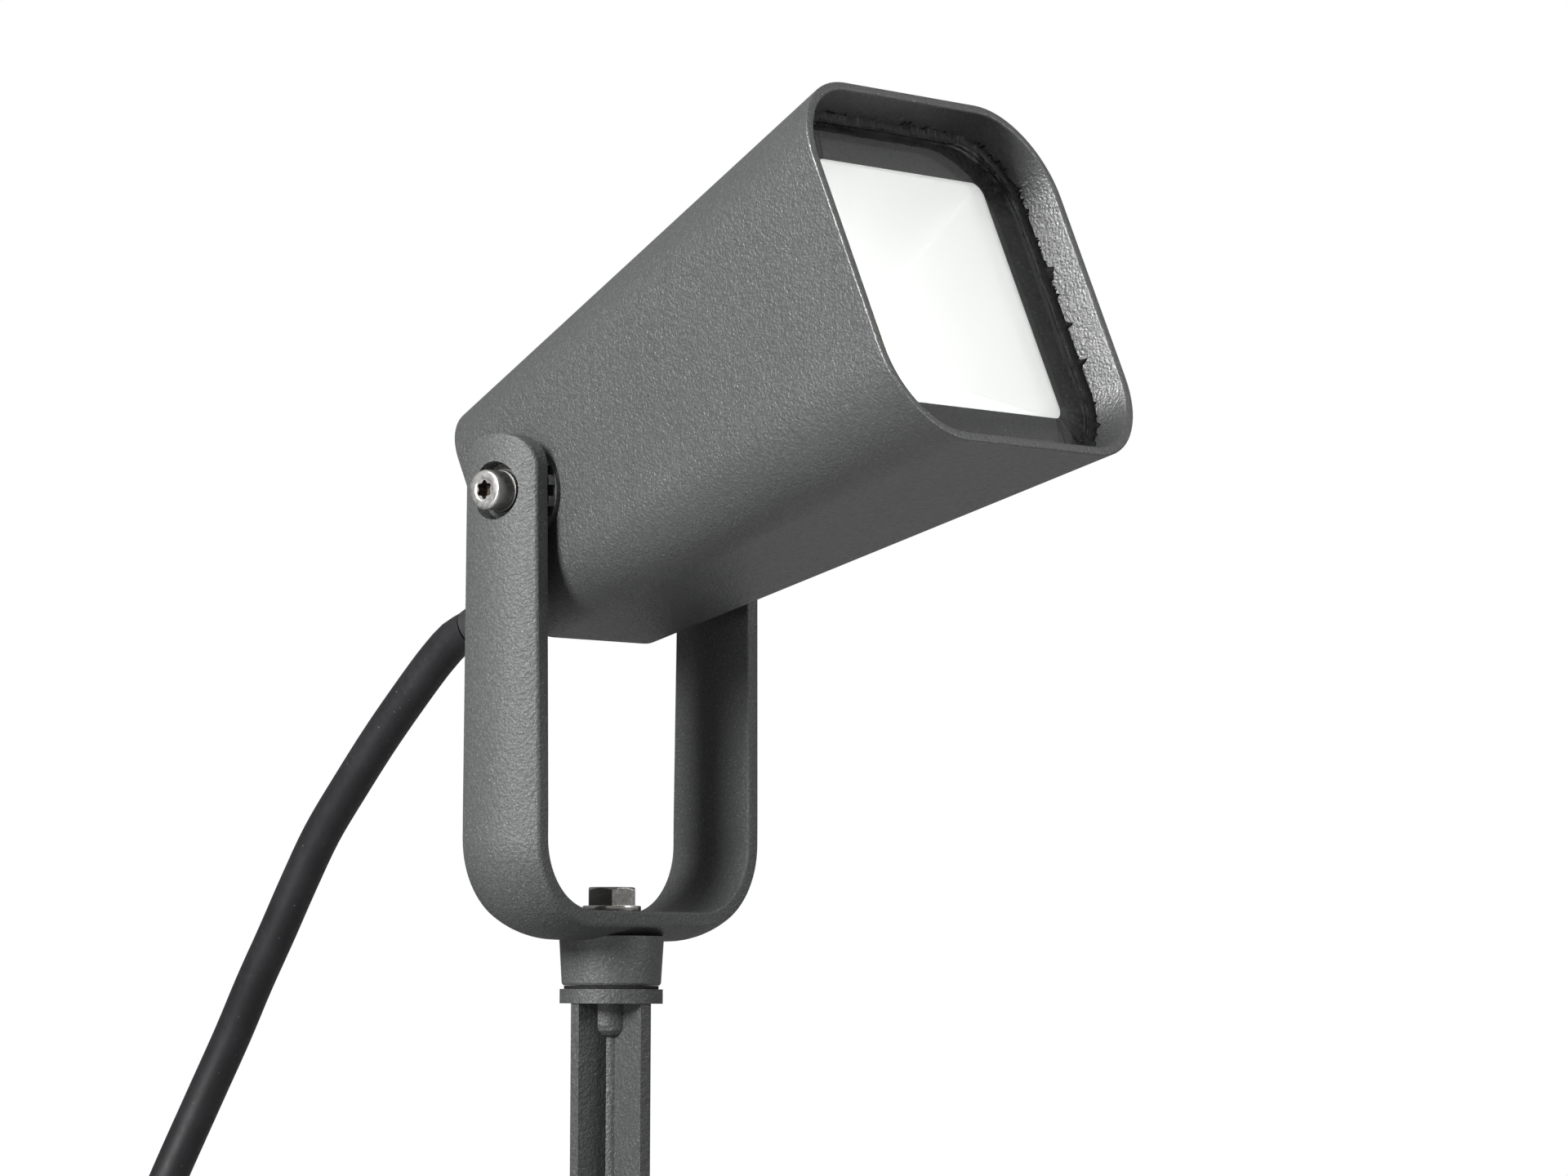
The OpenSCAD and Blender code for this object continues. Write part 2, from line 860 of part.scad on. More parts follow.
ground_stake();
stake_insert();
pan_bolt();
pan_bolt_washer();
friction_washer();
u_bracket();
swivel_collar();
lamp_housing();
front_glass();
glass_border();
glass_seal();
reflector();
led_board();
led_emitter();
led_screws();
thermal_pad();
mounting_plate();
plate_screws();
driver_case();
driver_strap();
terminal_block();
earth_screw();
earth_ring_tag();
tilt_disc_left();
tilt_disc_right();
tilt_screws();
tilt_flat_washers();
tilt_spring_washers();
gland_body();
gland_seal();
gland_nut();
gland_locknut();
gland_sleeve();
mains_lead();
lead_coil();
coil_tie();
lead_tail();
plug_body();
plug_boot();
plug_pins();
plug_earth_strips();
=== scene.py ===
"""Garden spike spotlight: looks, camera, light and the mains lead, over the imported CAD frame."""

import json
import math

import bmesh
import bpy
from mathutils import Matrix, Vector, noise


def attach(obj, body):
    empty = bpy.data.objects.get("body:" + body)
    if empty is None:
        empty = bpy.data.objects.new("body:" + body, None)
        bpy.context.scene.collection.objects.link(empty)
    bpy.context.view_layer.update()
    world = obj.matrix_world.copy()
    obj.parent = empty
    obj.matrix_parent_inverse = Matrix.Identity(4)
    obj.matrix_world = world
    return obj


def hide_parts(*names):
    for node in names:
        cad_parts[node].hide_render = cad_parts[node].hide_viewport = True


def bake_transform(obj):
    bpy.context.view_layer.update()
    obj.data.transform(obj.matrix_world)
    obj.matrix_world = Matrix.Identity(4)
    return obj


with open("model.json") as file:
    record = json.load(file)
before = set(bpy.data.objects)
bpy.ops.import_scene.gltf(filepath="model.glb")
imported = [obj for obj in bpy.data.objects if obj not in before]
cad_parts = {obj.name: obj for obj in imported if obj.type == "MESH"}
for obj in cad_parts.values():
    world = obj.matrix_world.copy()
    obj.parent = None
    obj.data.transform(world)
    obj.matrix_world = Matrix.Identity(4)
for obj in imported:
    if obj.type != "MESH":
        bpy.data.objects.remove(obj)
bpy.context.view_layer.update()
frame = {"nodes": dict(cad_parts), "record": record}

MM = 0.001

# ---------------------------------------------------------------- sizes, in millimetres
PIVOT_Z = 328.1
HEAD_TILT = 23.5
HEAD_RISE = 1.5
STAKE_H = 223.0
SIDES = (-1, 1)

FRONT_W, FRONT_H, FRONT_R = 84.0, 83.0, 20.0
REAR_W, REAR_R = 54.5, 12.5
FRONT_REACH, REAR_REACH = 107.0, 16.0
WALL_T = 2.1
CAVITY_FRONT_W, CAVITY_FRONT_R = 71.6, 16.0
CAVITY_REAR_W, CAVITY_REAR_R = 50.0, 9.5
REAR_WALL_T = 3.0
PAD_X, PAD_D, PAD_GAP = 29.6, 22.0, 0.15
TILT_BORE_D = 5.2
GLASS_Y = -99.0
GLASS_T = 3.0
GLASS_BACK_Y = GLASS_Y + GLASS_T
GLASS_GAP = 1.6
WINDOW_W = 56.0
LED_Y = -75.0

ARM_INNER_X = 33.0
STRIP_T = 6.3
STRIP_BULGE = 2.8
STRIP_HALF_W = 10.45
STRIP_R = (STRIP_HALF_W**2 + STRIP_BULGE**2) / (2 * STRIP_BULGE)
ARM_W_TOP, ARM_W_LOW = 20.0, 21.8
U_DEPTH = 88.4
BEND_R = 15.0
TAPER_L = 68.0
ARM_RISE = 12.2
SEAT_X = 35.1
COUNTERBORE_D = 12.4
PAN_BORE_D = 6.2

LEAD_D = 8.5
COIL_LIFT = 0.9
COIL_Y = 88.0
COIL_D = 94.0
PLUG = Vector((-69.0, 117.5, 19.1))
BOOT_L = 24.0
PLUG_D = 38.0
PLUG_L = 36.0
PIN_D, PIN_L, PIN_APART = 4.8, 19.0, 19.0
GLAND_DROP = 9.0
GLAND_BORE_D = 16.0
GLAND_INNER_R = 5.75
GLAND_HEX_T = 4.0
NUT_L = 8.0
SLEEVE_L = 20.0

# ---------------------------------------------------------------- frames
AT_PIVOT = Matrix.Translation((0, 0, PIVOT_Z))
IN_HEAD = AT_PIVOT @ Matrix.Rotation(math.radians(-HEAD_TILT), 4, "X") @ Matrix.Translation((0, 0, HEAD_RISE))
ALONG_Y = Matrix.Rotation(math.radians(-90), 4, "X")


def at(x, y, z):
    return Matrix.Translation((x, y, z))


def along_x(side, x=0):
    """Place of a turned part on the tilt axis, its own +Z outwards from x on that side."""
    return AT_PIVOT @ Matrix.Rotation(math.radians(90 * side), 4, "Y") @ at(0, 0, x)


# ---------------------------------------------------------------- camera
CAMERA_TURN = 50.78
CAMERA_PITCH = 3.616
CAMERA_ROLL = 0.281
CAMERA_LENS = 152.6
CAMERA_DISTANCE = 1.4362
PIVOT_RIGHT, PIVOT_UP = -0.03664, 0.01861


def make_camera():
    """The camera looks past the tilt axis, which lies PIVOT_RIGHT and PIVOT_UP off its own middle line."""
    a, e, r = (math.radians(v) for v in (CAMERA_TURN, CAMERA_PITCH, CAMERA_ROLL))
    view = Vector((math.sin(a) * math.cos(e), math.cos(a) * math.cos(e), math.sin(e)))
    right = Vector((math.cos(a), -math.sin(a), 0))
    up = right.cross(view)
    right, up = math.cos(r) * right + math.sin(r) * up, math.cos(r) * up - math.sin(r) * right
    data = bpy.data.cameras.new("camera")
    data.lens = CAMERA_LENS
    data.sensor_width = 36
    data.clip_start, data.clip_end = 0.05, 50
    camera = bpy.data.objects.new("camera", data)
    bpy.context.scene.collection.objects.link(camera)
    place = Vector((0, 0, PIVOT_Z * MM)) - right * PIVOT_RIGHT - up * PIVOT_UP - view * CAMERA_DISTANCE
    camera.matrix_world = Matrix(
        (
            (right.x, up.x, -view.x, place.x),
            (right.y, up.y, -view.y, place.y),
            (right.z, up.z, -view.z, place.z),
            (0, 0, 0, 1),
        )
    )
    bpy.context.scene.camera = camera


make_camera()


# ---------------------------------------------------------------- mesh helpers
def finish_mesh(name, bm, place=None, sharp=35):
    """bm, drawn in millimetres, becomes an object in metres."""
    if place is not None:
        bm.transform(place)
    bm.transform(Matrix.Scale(MM, 4))
    bmesh.ops.remove_doubles(bm, verts=bm.verts, dist=1e-7)
    bmesh.ops.recalc_face_normals(bm, faces=bm.faces)
    mesh = bpy.data.meshes.new(name)
    bm.to_mesh(mesh)
    bm.free()
    mesh.shade_smooth()
    mesh.set_sharp_from_angle(angle=math.radians(sharp))
    made = bpy.data.objects.new(name, mesh)
    bpy.context.scene.collection.objects.link(made)
    return made


def boolean(base, tool, operation, sharp=35):
    """base joined with, or cut by, tool; the tool is used up."""
    step = base.modifiers.new("step", "BOOLEAN")
    step.operation, step.object, step.solver = operation, tool, "EXACT"
    evaluated = base.evaluated_get(bpy.context.evaluated_depsgraph_get())
    mesh = bpy.data.meshes.new_from_object(evaluated)
    base.modifiers.remove(step)
    base.data = mesh
    bpy.data.objects.remove(tool)
    mesh.shade_smooth()
    mesh.set_sharp_from_angle(angle=math.radians(sharp))


def soften(obj, width, segments=2, angle=40):
    """A small bevel on the sharp edges, in millimetres."""
    bevel = obj.modifiers.new("edge", "BEVEL")
    bevel.width, bevel.segments = width * MM, segments
    bevel.limit_method, bevel.angle_limit = "ANGLE", math.radians(angle)
    bevel.harden_normals = True
    bevel.use_clamp_overlap = True


def even_normals(obj):
    weighted = obj.modifiers.new("even", "WEIGHTED_NORMAL")
    weighted.keep_sharp = True
    weighted.weight = 80


def loft(bm, rings, cap_start=True, cap_end=True, wrap=False):
    """Closed rings of equal length, joined by quads."""
    made = [[bm.verts.new(p) for p in ring] for ring in rings]
    n = len(rings[0])
    pairs = list(zip(made, made[1:]))
    if wrap:
        pairs.append((made[-1], made[0]))
    for low, high in pairs:
        for i in range(n):
            j = (i + 1) % n
            bm.faces.new((low[i], low[j], high[j], high[i]))
    if cap_start and not wrap:
        bm.faces.new(list(reversed(made[0])))
    if cap_end and not wrap:
        bm.faces.new(made[-1])
    return made


def filleted(corners, steps=4, closed=False):
    """A polyline of (x, y, radius) corners with each corner rounded to its radius."""
    out = []
    n = len(corners)
    for i, (x, y, r) in enumerate(corners):
        here = Vector((x, y))
        if r <= 0 or (not closed and i in (0, n - 1)):
            out.append(here)
            continue
        to_last = Vector(corners[i - 1][:2]) - here
        to_next = Vector(corners[(i + 1) % n][:2]) - here
        a, b = to_last.normalized(), to_next.normalized()
        half = a.angle(b) / 2
        if half > math.radians(89):
            out.append(here)
            continue
        back = min(r / math.tan(half), to_last.length * 0.49, to_next.length * 0.49)
        r = back * math.tan(half)
        middle = here + (a + b).normalized() * (r / math.sin(half))
        start, end = here + a * back - middle, here + b * back - middle
        sweep = start.angle_signed(end)
        for k in range(steps + 1):
            out.append(middle + Matrix.Rotation(-sweep * k / steps, 2) @ start)
    return out


def around(sides, turn=0.0):
    return [turn + 2 * math.pi * k / sides for k in range(sides)]


def quarter_turn(steps):
    return [math.pi / 2 * k / steps for k in range(steps + 1)]


def lathe(bm, corners, place=Matrix(), sides=64, steps=4):
    """A solid of revolution about Z from (radius, height, fillet) corners that start and end on its axis."""
    profile = filleted([(max(r, 1e-3), z, f) for r, z, f in corners], steps)
    rings = []
    for r, z in profile:
        rings.append([place @ Vector((r * math.cos(t), r * math.sin(t), z)) for t in around(sides)])
    loft(bm, rings)


def round_tool(place, radius, start, end, sides=96):
    """A cylinder along place's own Z, to join to a piece or to cut from it."""
    bm = bmesh.new()
    lathe(bm, [(0, start, 0), (radius, start, 0), (radius, end, 0), (0, end, 0)], place, sides)
    return finish_mesh("tool", bm)


def ring_solid(bm, corners, place=Matrix(), sides=64, steps=3):
    """A ring about Z whose section is the closed outline of (radius, height, fillet) corners."""
    profile = filleted(corners, steps, closed=True)
    rings = []
    for t in around(sides):
        rings.append([place @ Vector((r * math.cos(t), r * math.sin(t), z)) for r, z in profile])
    loft(bm, rings, wrap=True)


def bar(bm, outline, z0, z1, place=Matrix(), chamfer=0.0):
    """An upright prism over a centred outline, its ends chamfered."""
    low = 1 - chamfer / max(p.length for p in outline)
    stations = [(z0, 1), (z1, 1)]
    if chamfer:
        stations = [(z0, low), (z0 + chamfer, 1), (z1 - chamfer, 1), (z1, low)]
    loft(bm, [[place @ Vector((p.x * k, p.y * k, z)) for p in outline] for z, k in stations])


def hexagon(across_flats, turn=0.0, fillet=0.4):
    """Outline of a hexagon with rounded corners, turned by that many degrees."""
    r = across_flats / 2 / math.cos(math.radians(30))
    corners = [(r * math.cos(t), r * math.sin(t), fillet) for t in around(6, math.radians(turn))]
    return filleted(corners, 3, closed=True)


def rounded_box(w, h, r, segments=16):
    """Outline of a w by h rectangle with round corners, r each, anticlockwise."""
    out = []
    for quarter, (sx, sz) in enumerate(((1, 1), (-1, 1), (-1, -1), (1, -1))):
        for k in range(segments + 1):
            t = math.pi / 2 * (quarter + k / segments)
            out.append(Vector((sx * (w / 2 - r) + r * math.cos(t), sz * (h / 2 - r) + r * math.sin(t))))
    return out


def tube_rings(points, radius, sides):
    """Rings square to a line of points, without twist."""
    n = len(points)
    side = Vector((1, 0, 0))
    rings = []
    for i, p in enumerate(points):
        t = (points[min(i + 1, n - 1)] - points[max(i - 1, 0)]).normalized()
        side = (side - t * side.dot(t)).normalized()
        other = t.cross(side)
        rings.append([p + radius * (math.cos(a) * side + math.sin(a) * other) for a in around(sides)])
    return rings


def smooth_line(points, step):
    """Points about a step apart on one smooth curve through the given points."""
    out = []
    n = len(points)
    for i in range(n - 1):
        p0, p1, p2, p3 = points[max(i - 1, 0)], points[i], points[i + 1], points[min(i + 2, n - 1)]
        pieces = max(1, round((p2 - p1).length / step))
        for k in range(pieces):
            t = k / pieces
            a = 2 * p1
            b = (p2 - p0) * t
            c = (2 * p0 - 5 * p1 + 4 * p2 - p3) * t * t
            d = (3 * p1 - p0 - 3 * p2 + p3) * t**3
            out.append((a + b + c + d) / 2)
    out.append(points[-1])
    return out


# ---------------------------------------------------------------- materials
def set_range(node, *numbers):
    for socket, number in zip(("From Min", "From Max", "To Min", "To Max"), numbers):
        node.inputs[socket].default_value = number


class Surface:
    """A material whose colour, roughness and relief come from noise in the object's own space."""

    def __init__(self, name, colour, roughness, metallic=0.0):
        self.material = bpy.data.materials.new(name)
        self.material.use_nodes = True
        self.nodes = self.material.node_tree.nodes
        self.links = self.material.node_tree.links
        self.shader = self.nodes["Principled BSDF"]
        self.space = self.nodes.new("ShaderNodeTexCoord").outputs["Object"]
        self.set("Base Color", (*colour, 1))
        self.set("Roughness", roughness)
        self.set("Metallic", metallic)
        self.relief = None

    def set(self, socket, value):
        self.shader.inputs[socket].default_value = value

    def noise(self, per_mm, detail=3.0, rough=0.55, stretch=(1, 1, 1)):
        scale = self.nodes.new("ShaderNodeMapping")
        scale.inputs["Scale"].default_value = [per_mm / MM * k for k in stretch]
        node = self.nodes.new("ShaderNodeTexNoise")
        node.inputs["Scale"].default_value = 1.0
        node.inputs["Detail"].default_value = detail
        node.inputs["Roughness"].default_value = rough
        self.links.new(self.space, scale.inputs["Vector"])
        self.links.new(scale.outputs["Vector"], node.inputs["Vector"])
        return node.outputs["Fac"]

    def spread(self, value, low, high, out_low, out_high):
        node = self.nodes.new("ShaderNodeMapRange")
        set_range(node, low, high, out_low, out_high)
        self.links.new(value, node.inputs["Value"])
        return node.outputs["Result"]

    def tint(self, factor, other):
        """Mixes the base colour with another one by a factor."""
        node = self.nodes.new("ShaderNodeMix")
        node.data_type = "RGBA"
        self.links.new(factor, node.inputs["Factor"])
        colour_in = self.shader.inputs["Base Color"]
        if colour_in.is_linked:
            self.links.new(colour_in.links[0].from_socket, node.inputs["A"])
        else:
            node.inputs["A"].default_value = colour_in.default_value
        node.inputs["B"].default_value = (*other, 1)
        self.links.new(node.outputs["Result"], colour_in)

    def vary(self, socket, value, low, high):
        self.links.new(self.spread(value, 0.3, 0.7, low, high), self.shader.inputs[socket])

    def bump(self, value, height):
        """Relief of that height in millimetres, on top of what is there."""
        node = self.nodes.new("ShaderNodeBump")
        node.inputs["Distance"].default_value = height * MM
        node.inputs["Strength"].default_value = 1.0
        self.links.new(value, node.inputs["Height"])
        if self.relief:
            self.links.new(self.relief, node.inputs["Normal"])
        self.relief = node.outputs["Normal"]
        self.links.new(self.relief, self.shader.inputs["Normal"])


def shade(colour, k):
    return tuple(min(1.0, c * k) for c in colour)


def powder_coat(name, colour, roughness, sheen, grain_mm=0.55, height=0.10):
    """Textured powder coat: fine pebbles, a slower orange peel, and sparse lighter grains."""
    s = Surface(name, colour, roughness)
    s.set("Specular IOR Level", sheen)
    grains = s.noise(1.0 / grain_mm, 2.5, 0.5)
    s.tint(s.spread(grains, 0.40, 0.70, 0, 1), shade(colour, 1.5))
    s.tint(s.spread(s.noise(0.02, 3), 0.35, 0.7, 0, 0.5), shade(colour, 0.88))
    s.tint(s.spread(s.noise(2.4, 1), 0.66, 0.72, 0, 0.8), shade(colour, 3.2))
    s.vary("Roughness", s.noise(0.9, 3), roughness - 0.05, roughness + 0.07)
    s.bump(grains, height)
    s.bump(s.noise(0.5 / grain_mm, 2), height * 0.9)
    return s.material


def metal(name, colour, roughness, stretch=(1, 1, 1), worn=0.82):
    s = Surface(name, colour, roughness, 1.0)
    s.tint(s.spread(s.noise(0.35, 3), 0.4, 0.75, 0, 1), shade(colour, worn))
    s.vary("Roughness", s.noise(1.2, 3, 0.6, stretch), roughness * 0.85, roughness * 1.2)
    s.bump(s.noise(6.0, 2, 0.5, stretch), 0.0012)
    return s.material


def rubber(name, colour, roughness, dust=0.5, grain=0.03):
    s = Surface(name, colour, roughness)
    s.set("Specular IOR Level", 0.28)
    s.tint(s.spread(s.noise(0.12, 4), 0.4, 0.75, 0, 1), shade(colour, 1.5))
    s.tint(s.spread(s.noise(1.6, 2), 0.72, 0.77, 0, dust), (0.2, 0.2, 0.2))
    s.vary("Roughness", s.noise(0.8, 3), roughness - 0.08, roughness + 0.1)
    s.bump(s.noise(2.2, 3), grain)
    return s.material


def plastic(name, colour, roughness, grain=0.01):
    s = Surface(name, colour, roughness)
    s.tint(s.spread(s.noise(0.15, 4), 0.35, 0.75, 0, 1), shade(colour, 0.93))
    s.vary("Roughness", s.noise(1.5, 3), roughness - 0.05, roughness + 0.08)
    s.bump(s.noise(3.0, 3), grain)
    return s.material


def clear_pane():
    s = Surface("clear_glass", (0.97, 0.985, 0.98), 0.0)
    s.set("IOR", 1.5)
    s.set("Transmission Weight", 1.0)
    s.vary("Roughness", s.noise(0.05, 3), 0.0, 0.012)
    return s.material


def white_with_painted_glow(name, glow):
    """Reflector plastic with a painted glow, standing in for diffuse light through the glass."""
    s = Surface(name, (0.93, 0.93, 0.925), 0.35)
    s.tint(s.spread(s.noise(0.1, 3), 0.35, 0.75, 0, 1), (0.90, 0.90, 0.90))
    s.vary("Roughness", s.noise(1.2, 3), 0.28, 0.42)
    s.bump(s.noise(1.8, 3), 0.006)
    s.set("Emission Color", (1.0, 0.995, 0.985, 1))
    s.set("Emission Strength", glow)
    return s.material


# Emission that stands in for light: a painted glow on the LED and its board
def with_painted_glow(material, colour, strength):
    shader = material.node_tree.nodes["Principled BSDF"]
    shader.inputs["Emission Color"].default_value = (*colour, 1)
    shader.inputs["Emission Strength"].default_value = strength
    return material


def woven_strap():
    s = Surface("tie_strap", (0.02, 0.02, 0.02), 0.9)
    wave = s.nodes.new("ShaderNodeTexWave")
    wave.inputs["Scale"].default_value = 0.9 / MM
    wave.inputs["Distortion"].default_value = 1.5
    s.links.new(s.space, wave.inputs["Vector"])
    s.tint(s.spread(wave.outputs["Fac"], 0.3, 0.8, 0, 1), (0.05, 0.05, 0.05))
    s.bump(wave.outputs["Fac"], 0.12)
    s.bump(s.noise(2.5, 3), 0.1)
    return s.material


# Painted light: glow on the reflector and on its painted-shade and painted-light copies
REFLECTOR_PAINTED_GLOW, PAINTED_SHADE_GLOW, PAINTED_LIGHT_GLOW = 0.44, 0.37, 1.5
# Painted light: a weak glow that makes the LED and its board read white
LED_PAINTED_GLOW, BOARD_PAINTED_GLOW = 0.80, 0.56
COAT = (0.044, 0.045, 0.045)

MATERIALS = {
    "housing_coat": powder_coat("housing_coat", shade(COAT, 0.8), 0.42, 1.0, 0.55, 0.13),
    "bracket_coat": powder_coat("bracket_coat", shade(COAT, 1.12), 0.52, 0.35, 0.6, 0.16),
    "stake_coat": powder_coat("stake_coat", shade(COAT, 0.82), 0.52, 0.38, 0.65, 0.18),
    "stainless": metal("stainless", (0.72, 0.70, 0.67), 0.2),
    # Darker copy of stainless: painted shade on the pan bolt
    "stainless_bolt_painted_shade": metal("stainless_bolt_painted_shade", (0.46, 0.45, 0.43), 0.24),
    "stainless_screw": metal("stainless_screw", (0.66, 0.65, 0.63), 0.34),
    # Painted shade inside the screws' drive recess
    "stainless_recess_painted_shade": metal("stainless_recess_painted_shade", (0.085, 0.07, 0.06), 0.55),
    # Painted shade on the washers in the counterbores
    "stainless_painted_shade": metal("stainless_painted_shade", (0.13, 0.128, 0.124), 0.5),
    "brass": metal("brass", (0.78, 0.58, 0.26), 0.3),
    "tinned_copper": metal("tinned_copper", (0.66, 0.64, 0.60), 0.32),
    "bare_aluminium": metal("bare_aluminium", (0.74, 0.75, 0.76), 0.4, (1, 1, 12)),
    "nickel_plate": metal("nickel_plate", (0.74, 0.72, 0.68), 0.16, worn=0.88),
    "rubber": rubber("rubber", (0.018, 0.018, 0.018), 0.6, dust=0.2),
    # Darker, matte copy of rubber: painted shade in the gap between collar and flange
    "rubber_painted_shade": rubber("rubber_painted_shade", (0.006, 0.006, 0.006), 0.85, dust=0.1),
    "black_silicone": rubber("black_silicone", (0.005, 0.005, 0.005), 0.6, dust=0.5, grain=0.05),
    "cable_rubber": rubber("cable_rubber", (0.008, 0.008, 0.009), 0.5),
    "plug_rubber": rubber("plug_rubber", (0.018, 0.018, 0.019), 0.52, dust=0.3, grain=0.04),
    "gland_plastic": rubber("gland_plastic", (0.014, 0.014, 0.015), 0.4, dust=0.2, grain=0.015),
    "thermal_pad": rubber("thermal_pad", (0.30, 0.36, 0.42), 0.8, dust=0.1),
    "black_print": plastic("black_print", (0.006, 0.006, 0.006), 0.3),
    "led_ceramic": with_painted_glow(plastic("led_ceramic", (0.86, 0.86, 0.84), 0.4), (1, 0.99, 0.97), BOARD_PAINTED_GLOW),
    "phosphor": with_painted_glow(plastic("phosphor", (0.95, 0.86, 0.55), 0.5, 0.03), (1, 0.97, 0.88), LED_PAINTED_GLOW),
    "driver_plastic": plastic("driver_plastic", (0.80, 0.80, 0.76), 0.45, 0.03),
    "clear_glass": clear_pane(),
    "white_plastic": white_with_painted_glow("white_plastic", REFLECTOR_PAINTED_GLOW),
    "white_plastic_painted_shade": white_with_painted_glow("white_plastic_painted_shade", PAINTED_SHADE_GLOW),
    "white_plastic_painted_light": white_with_painted_glow("white_plastic_painted_light", PAINTED_LIGHT_GLOW),
    "tie_strap": woven_strap(),
}

SLOT_OF = {part["node"]: part["material_slot"] for part in frame["record"]["subparts"]}


def paint(obj, slot_name):
    obj.data.materials.clear()
    obj.data.materials.append(MATERIALS[slot_name])


def refinish(obj, name):
    """A finish that differs from the slot's own: darker copies paint shade, and the screws get a smoother
    steel.
    """
    obj.data.materials[0] = MATERIALS[name]


def piece(obj, body, slot_name, *nodes):
    """obj rides on a body, stands for those nodes and takes the slot's finish."""
    paint(obj, slot_name)
    if body:
        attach(obj, body)
    if nodes:
        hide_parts(*nodes)
    return obj


# ---------------------------------------------------------------- lamp housing
def head_outline(y, inset=0.0, segments=18):
    """Outline of the head's taper at y, smaller by inset all round."""
    share = (y + FRONT_REACH) / (FRONT_REACH + REAR_REACH)
    w = FRONT_W + (REAR_W - FRONT_W) * share
    h = FRONT_H + (REAR_W - FRONT_H) * share
    r = FRONT_R + (REAR_R - FRONT_R) * share
    return rounded_box(w - 2 * inset, h - 2 * inset, r - inset, segments)


REAR_EDGE_R, RIM_R = 0.4, 0.45
LEDGE_Y = GLASS_BACK_Y + 0.2
CAVITY_END_Y = REAR_REACH - REAR_WALL_T
RING_GAP = 15.0
# Where the joined and cut cylinders start and end, inside the wall and clear of it
PAD_ROOT_X, PAD_OUT_X, CLEAR_X = 26.5, 31, 36
BORE_ROOT_X = 18
CLEAR_Y = REAR_REACH + 4


def head_ring(y, inset):
    return [Vector((p.x, y, p.y)) for p in head_outline(y, inset)]


def box_ring(y, w, r):
    return [Vector((p.x, y, p.y)) for p in rounded_box(w, w, r, 18)]


def make_housing():
    rear = [(REAR_EDGE_R * (1 - math.cos(t)), REAR_EDGE_R * (1 - math.sin(t))) for t in quarter_turn(5)]
    rim = [(RIM_R * (1 - math.sin(t)), RIM_R * (1 - math.cos(t))) for t in quarter_turn(3)]
    stations = [(REAR_REACH - back, inset) for back, inset in rear]
    stations += [(REAR_REACH - REAR_EDGE_R - k * RING_GAP, 0.0) for k in range(1, 8)]
    stations += [(-FRONT_REACH + back, inset) for back, inset in rim]
    stations += [(-FRONT_REACH + inset, WALL_T - back) for back, inset in rim]
    stations.append((LEDGE_Y, WALL_T))
    rings = [head_ring(y, inset) for y, inset in stations]
    rings.append(box_ring(LEDGE_Y, CAVITY_FRONT_W, CAVITY_FRONT_R))
    rings.append(box_ring(CAVITY_END_Y, CAVITY_REAR_W, CAVITY_REAR_R))
    bm = bmesh.new()
    loft(bm, rings)
    shell = finish_mesh("housing_shell", bm, IN_HEAD)
    for side in SIDES:
        boolean(shell, round_tool(along_x(side), PAD_D / 2, PAD_ROOT_X, PAD_OUT_X), "UNION")
        boolean(shell, round_tool(along_x(side), PAD_D / 2 + PAD_GAP, PAD_X, CLEAR_X), "DIFFERENCE")
        boolean(shell, round_tool(along_x(side), TILT_BORE_D / 2, BORE_ROOT_X, CLEAR_X, 48), "DIFFERENCE")
    gland_axis = IN_HEAD @ at(0, 0, -GLAND_DROP) @ ALONG_Y
    boolean(shell, round_tool(gland_axis, GLAND_BORE_D / 2, CAVITY_END_Y - 4, CLEAR_Y, 64), "DIFFERENCE")
    even_normals(shell)
    piece(shell, "head", "housing_coat", "lamp_housing")


make_housing()


# ---------------------------------------------------------------- glass, print, bead and reflector
GLASS_INSET = WALL_T + GLASS_GAP
GLASS_HALF_W, GLASS_CHAMFER = 36, 0.25
PRINT_T, PRINT_INSET = 0.15, GLASS_INSET + 0.3
WINDOW_R = 3.0


def make_glass():
    outline = head_outline(GLASS_Y, GLASS_INSET)
    low = 1 - GLASS_CHAMFER / GLASS_HALF_W
    stations = (
        (GLASS_Y, low), (GLASS_Y + GLASS_CHAMFER, 1), (GLASS_BACK_Y - GLASS_CHAMFER, 1), (GLASS_BACK_Y, low),
    )
    bm = bmesh.new()
    loft(bm, [[Vector((p.x * k, y, p.y * k)) for p in outline] for y, k in stations])
    piece(finish_mesh("front_pane", bm, IN_HEAD), "head", "clear_glass", "front_glass")


def make_print():
    """Black border on the back of the glass, round the clear window."""
    outline = head_outline(GLASS_Y, PRINT_INSET)
    window = rounded_box(WINDOW_W, WINDOW_W, WINDOW_R, 18)
    front, back = GLASS_BACK_Y, GLASS_BACK_Y + PRINT_T
    bm = bmesh.new()
    rings = ((front, outline), (back, outline), (back, window), (front, window))
    loft(bm, [[Vector((p.x, y, p.y)) for p in line] for y, line in rings], wrap=True)
    piece(finish_mesh("glass_print", bm, IN_HEAD), "head", "black_print", "glass_border")


make_glass()
make_print()

BEAD_STATIONS = 900
# (waves per millimetre, height, shift of the pattern)
BEAD_WAVES = ((0.35, 0.9, 0), (1.3, 0.7, 4), (3.1, 0.45, 9))


def bead_waves(p, seed):
    return sum(k * noise.noise(Vector((p.x * f, p.y * f, seed + shift))) for f, k, shift in BEAD_WAVES)


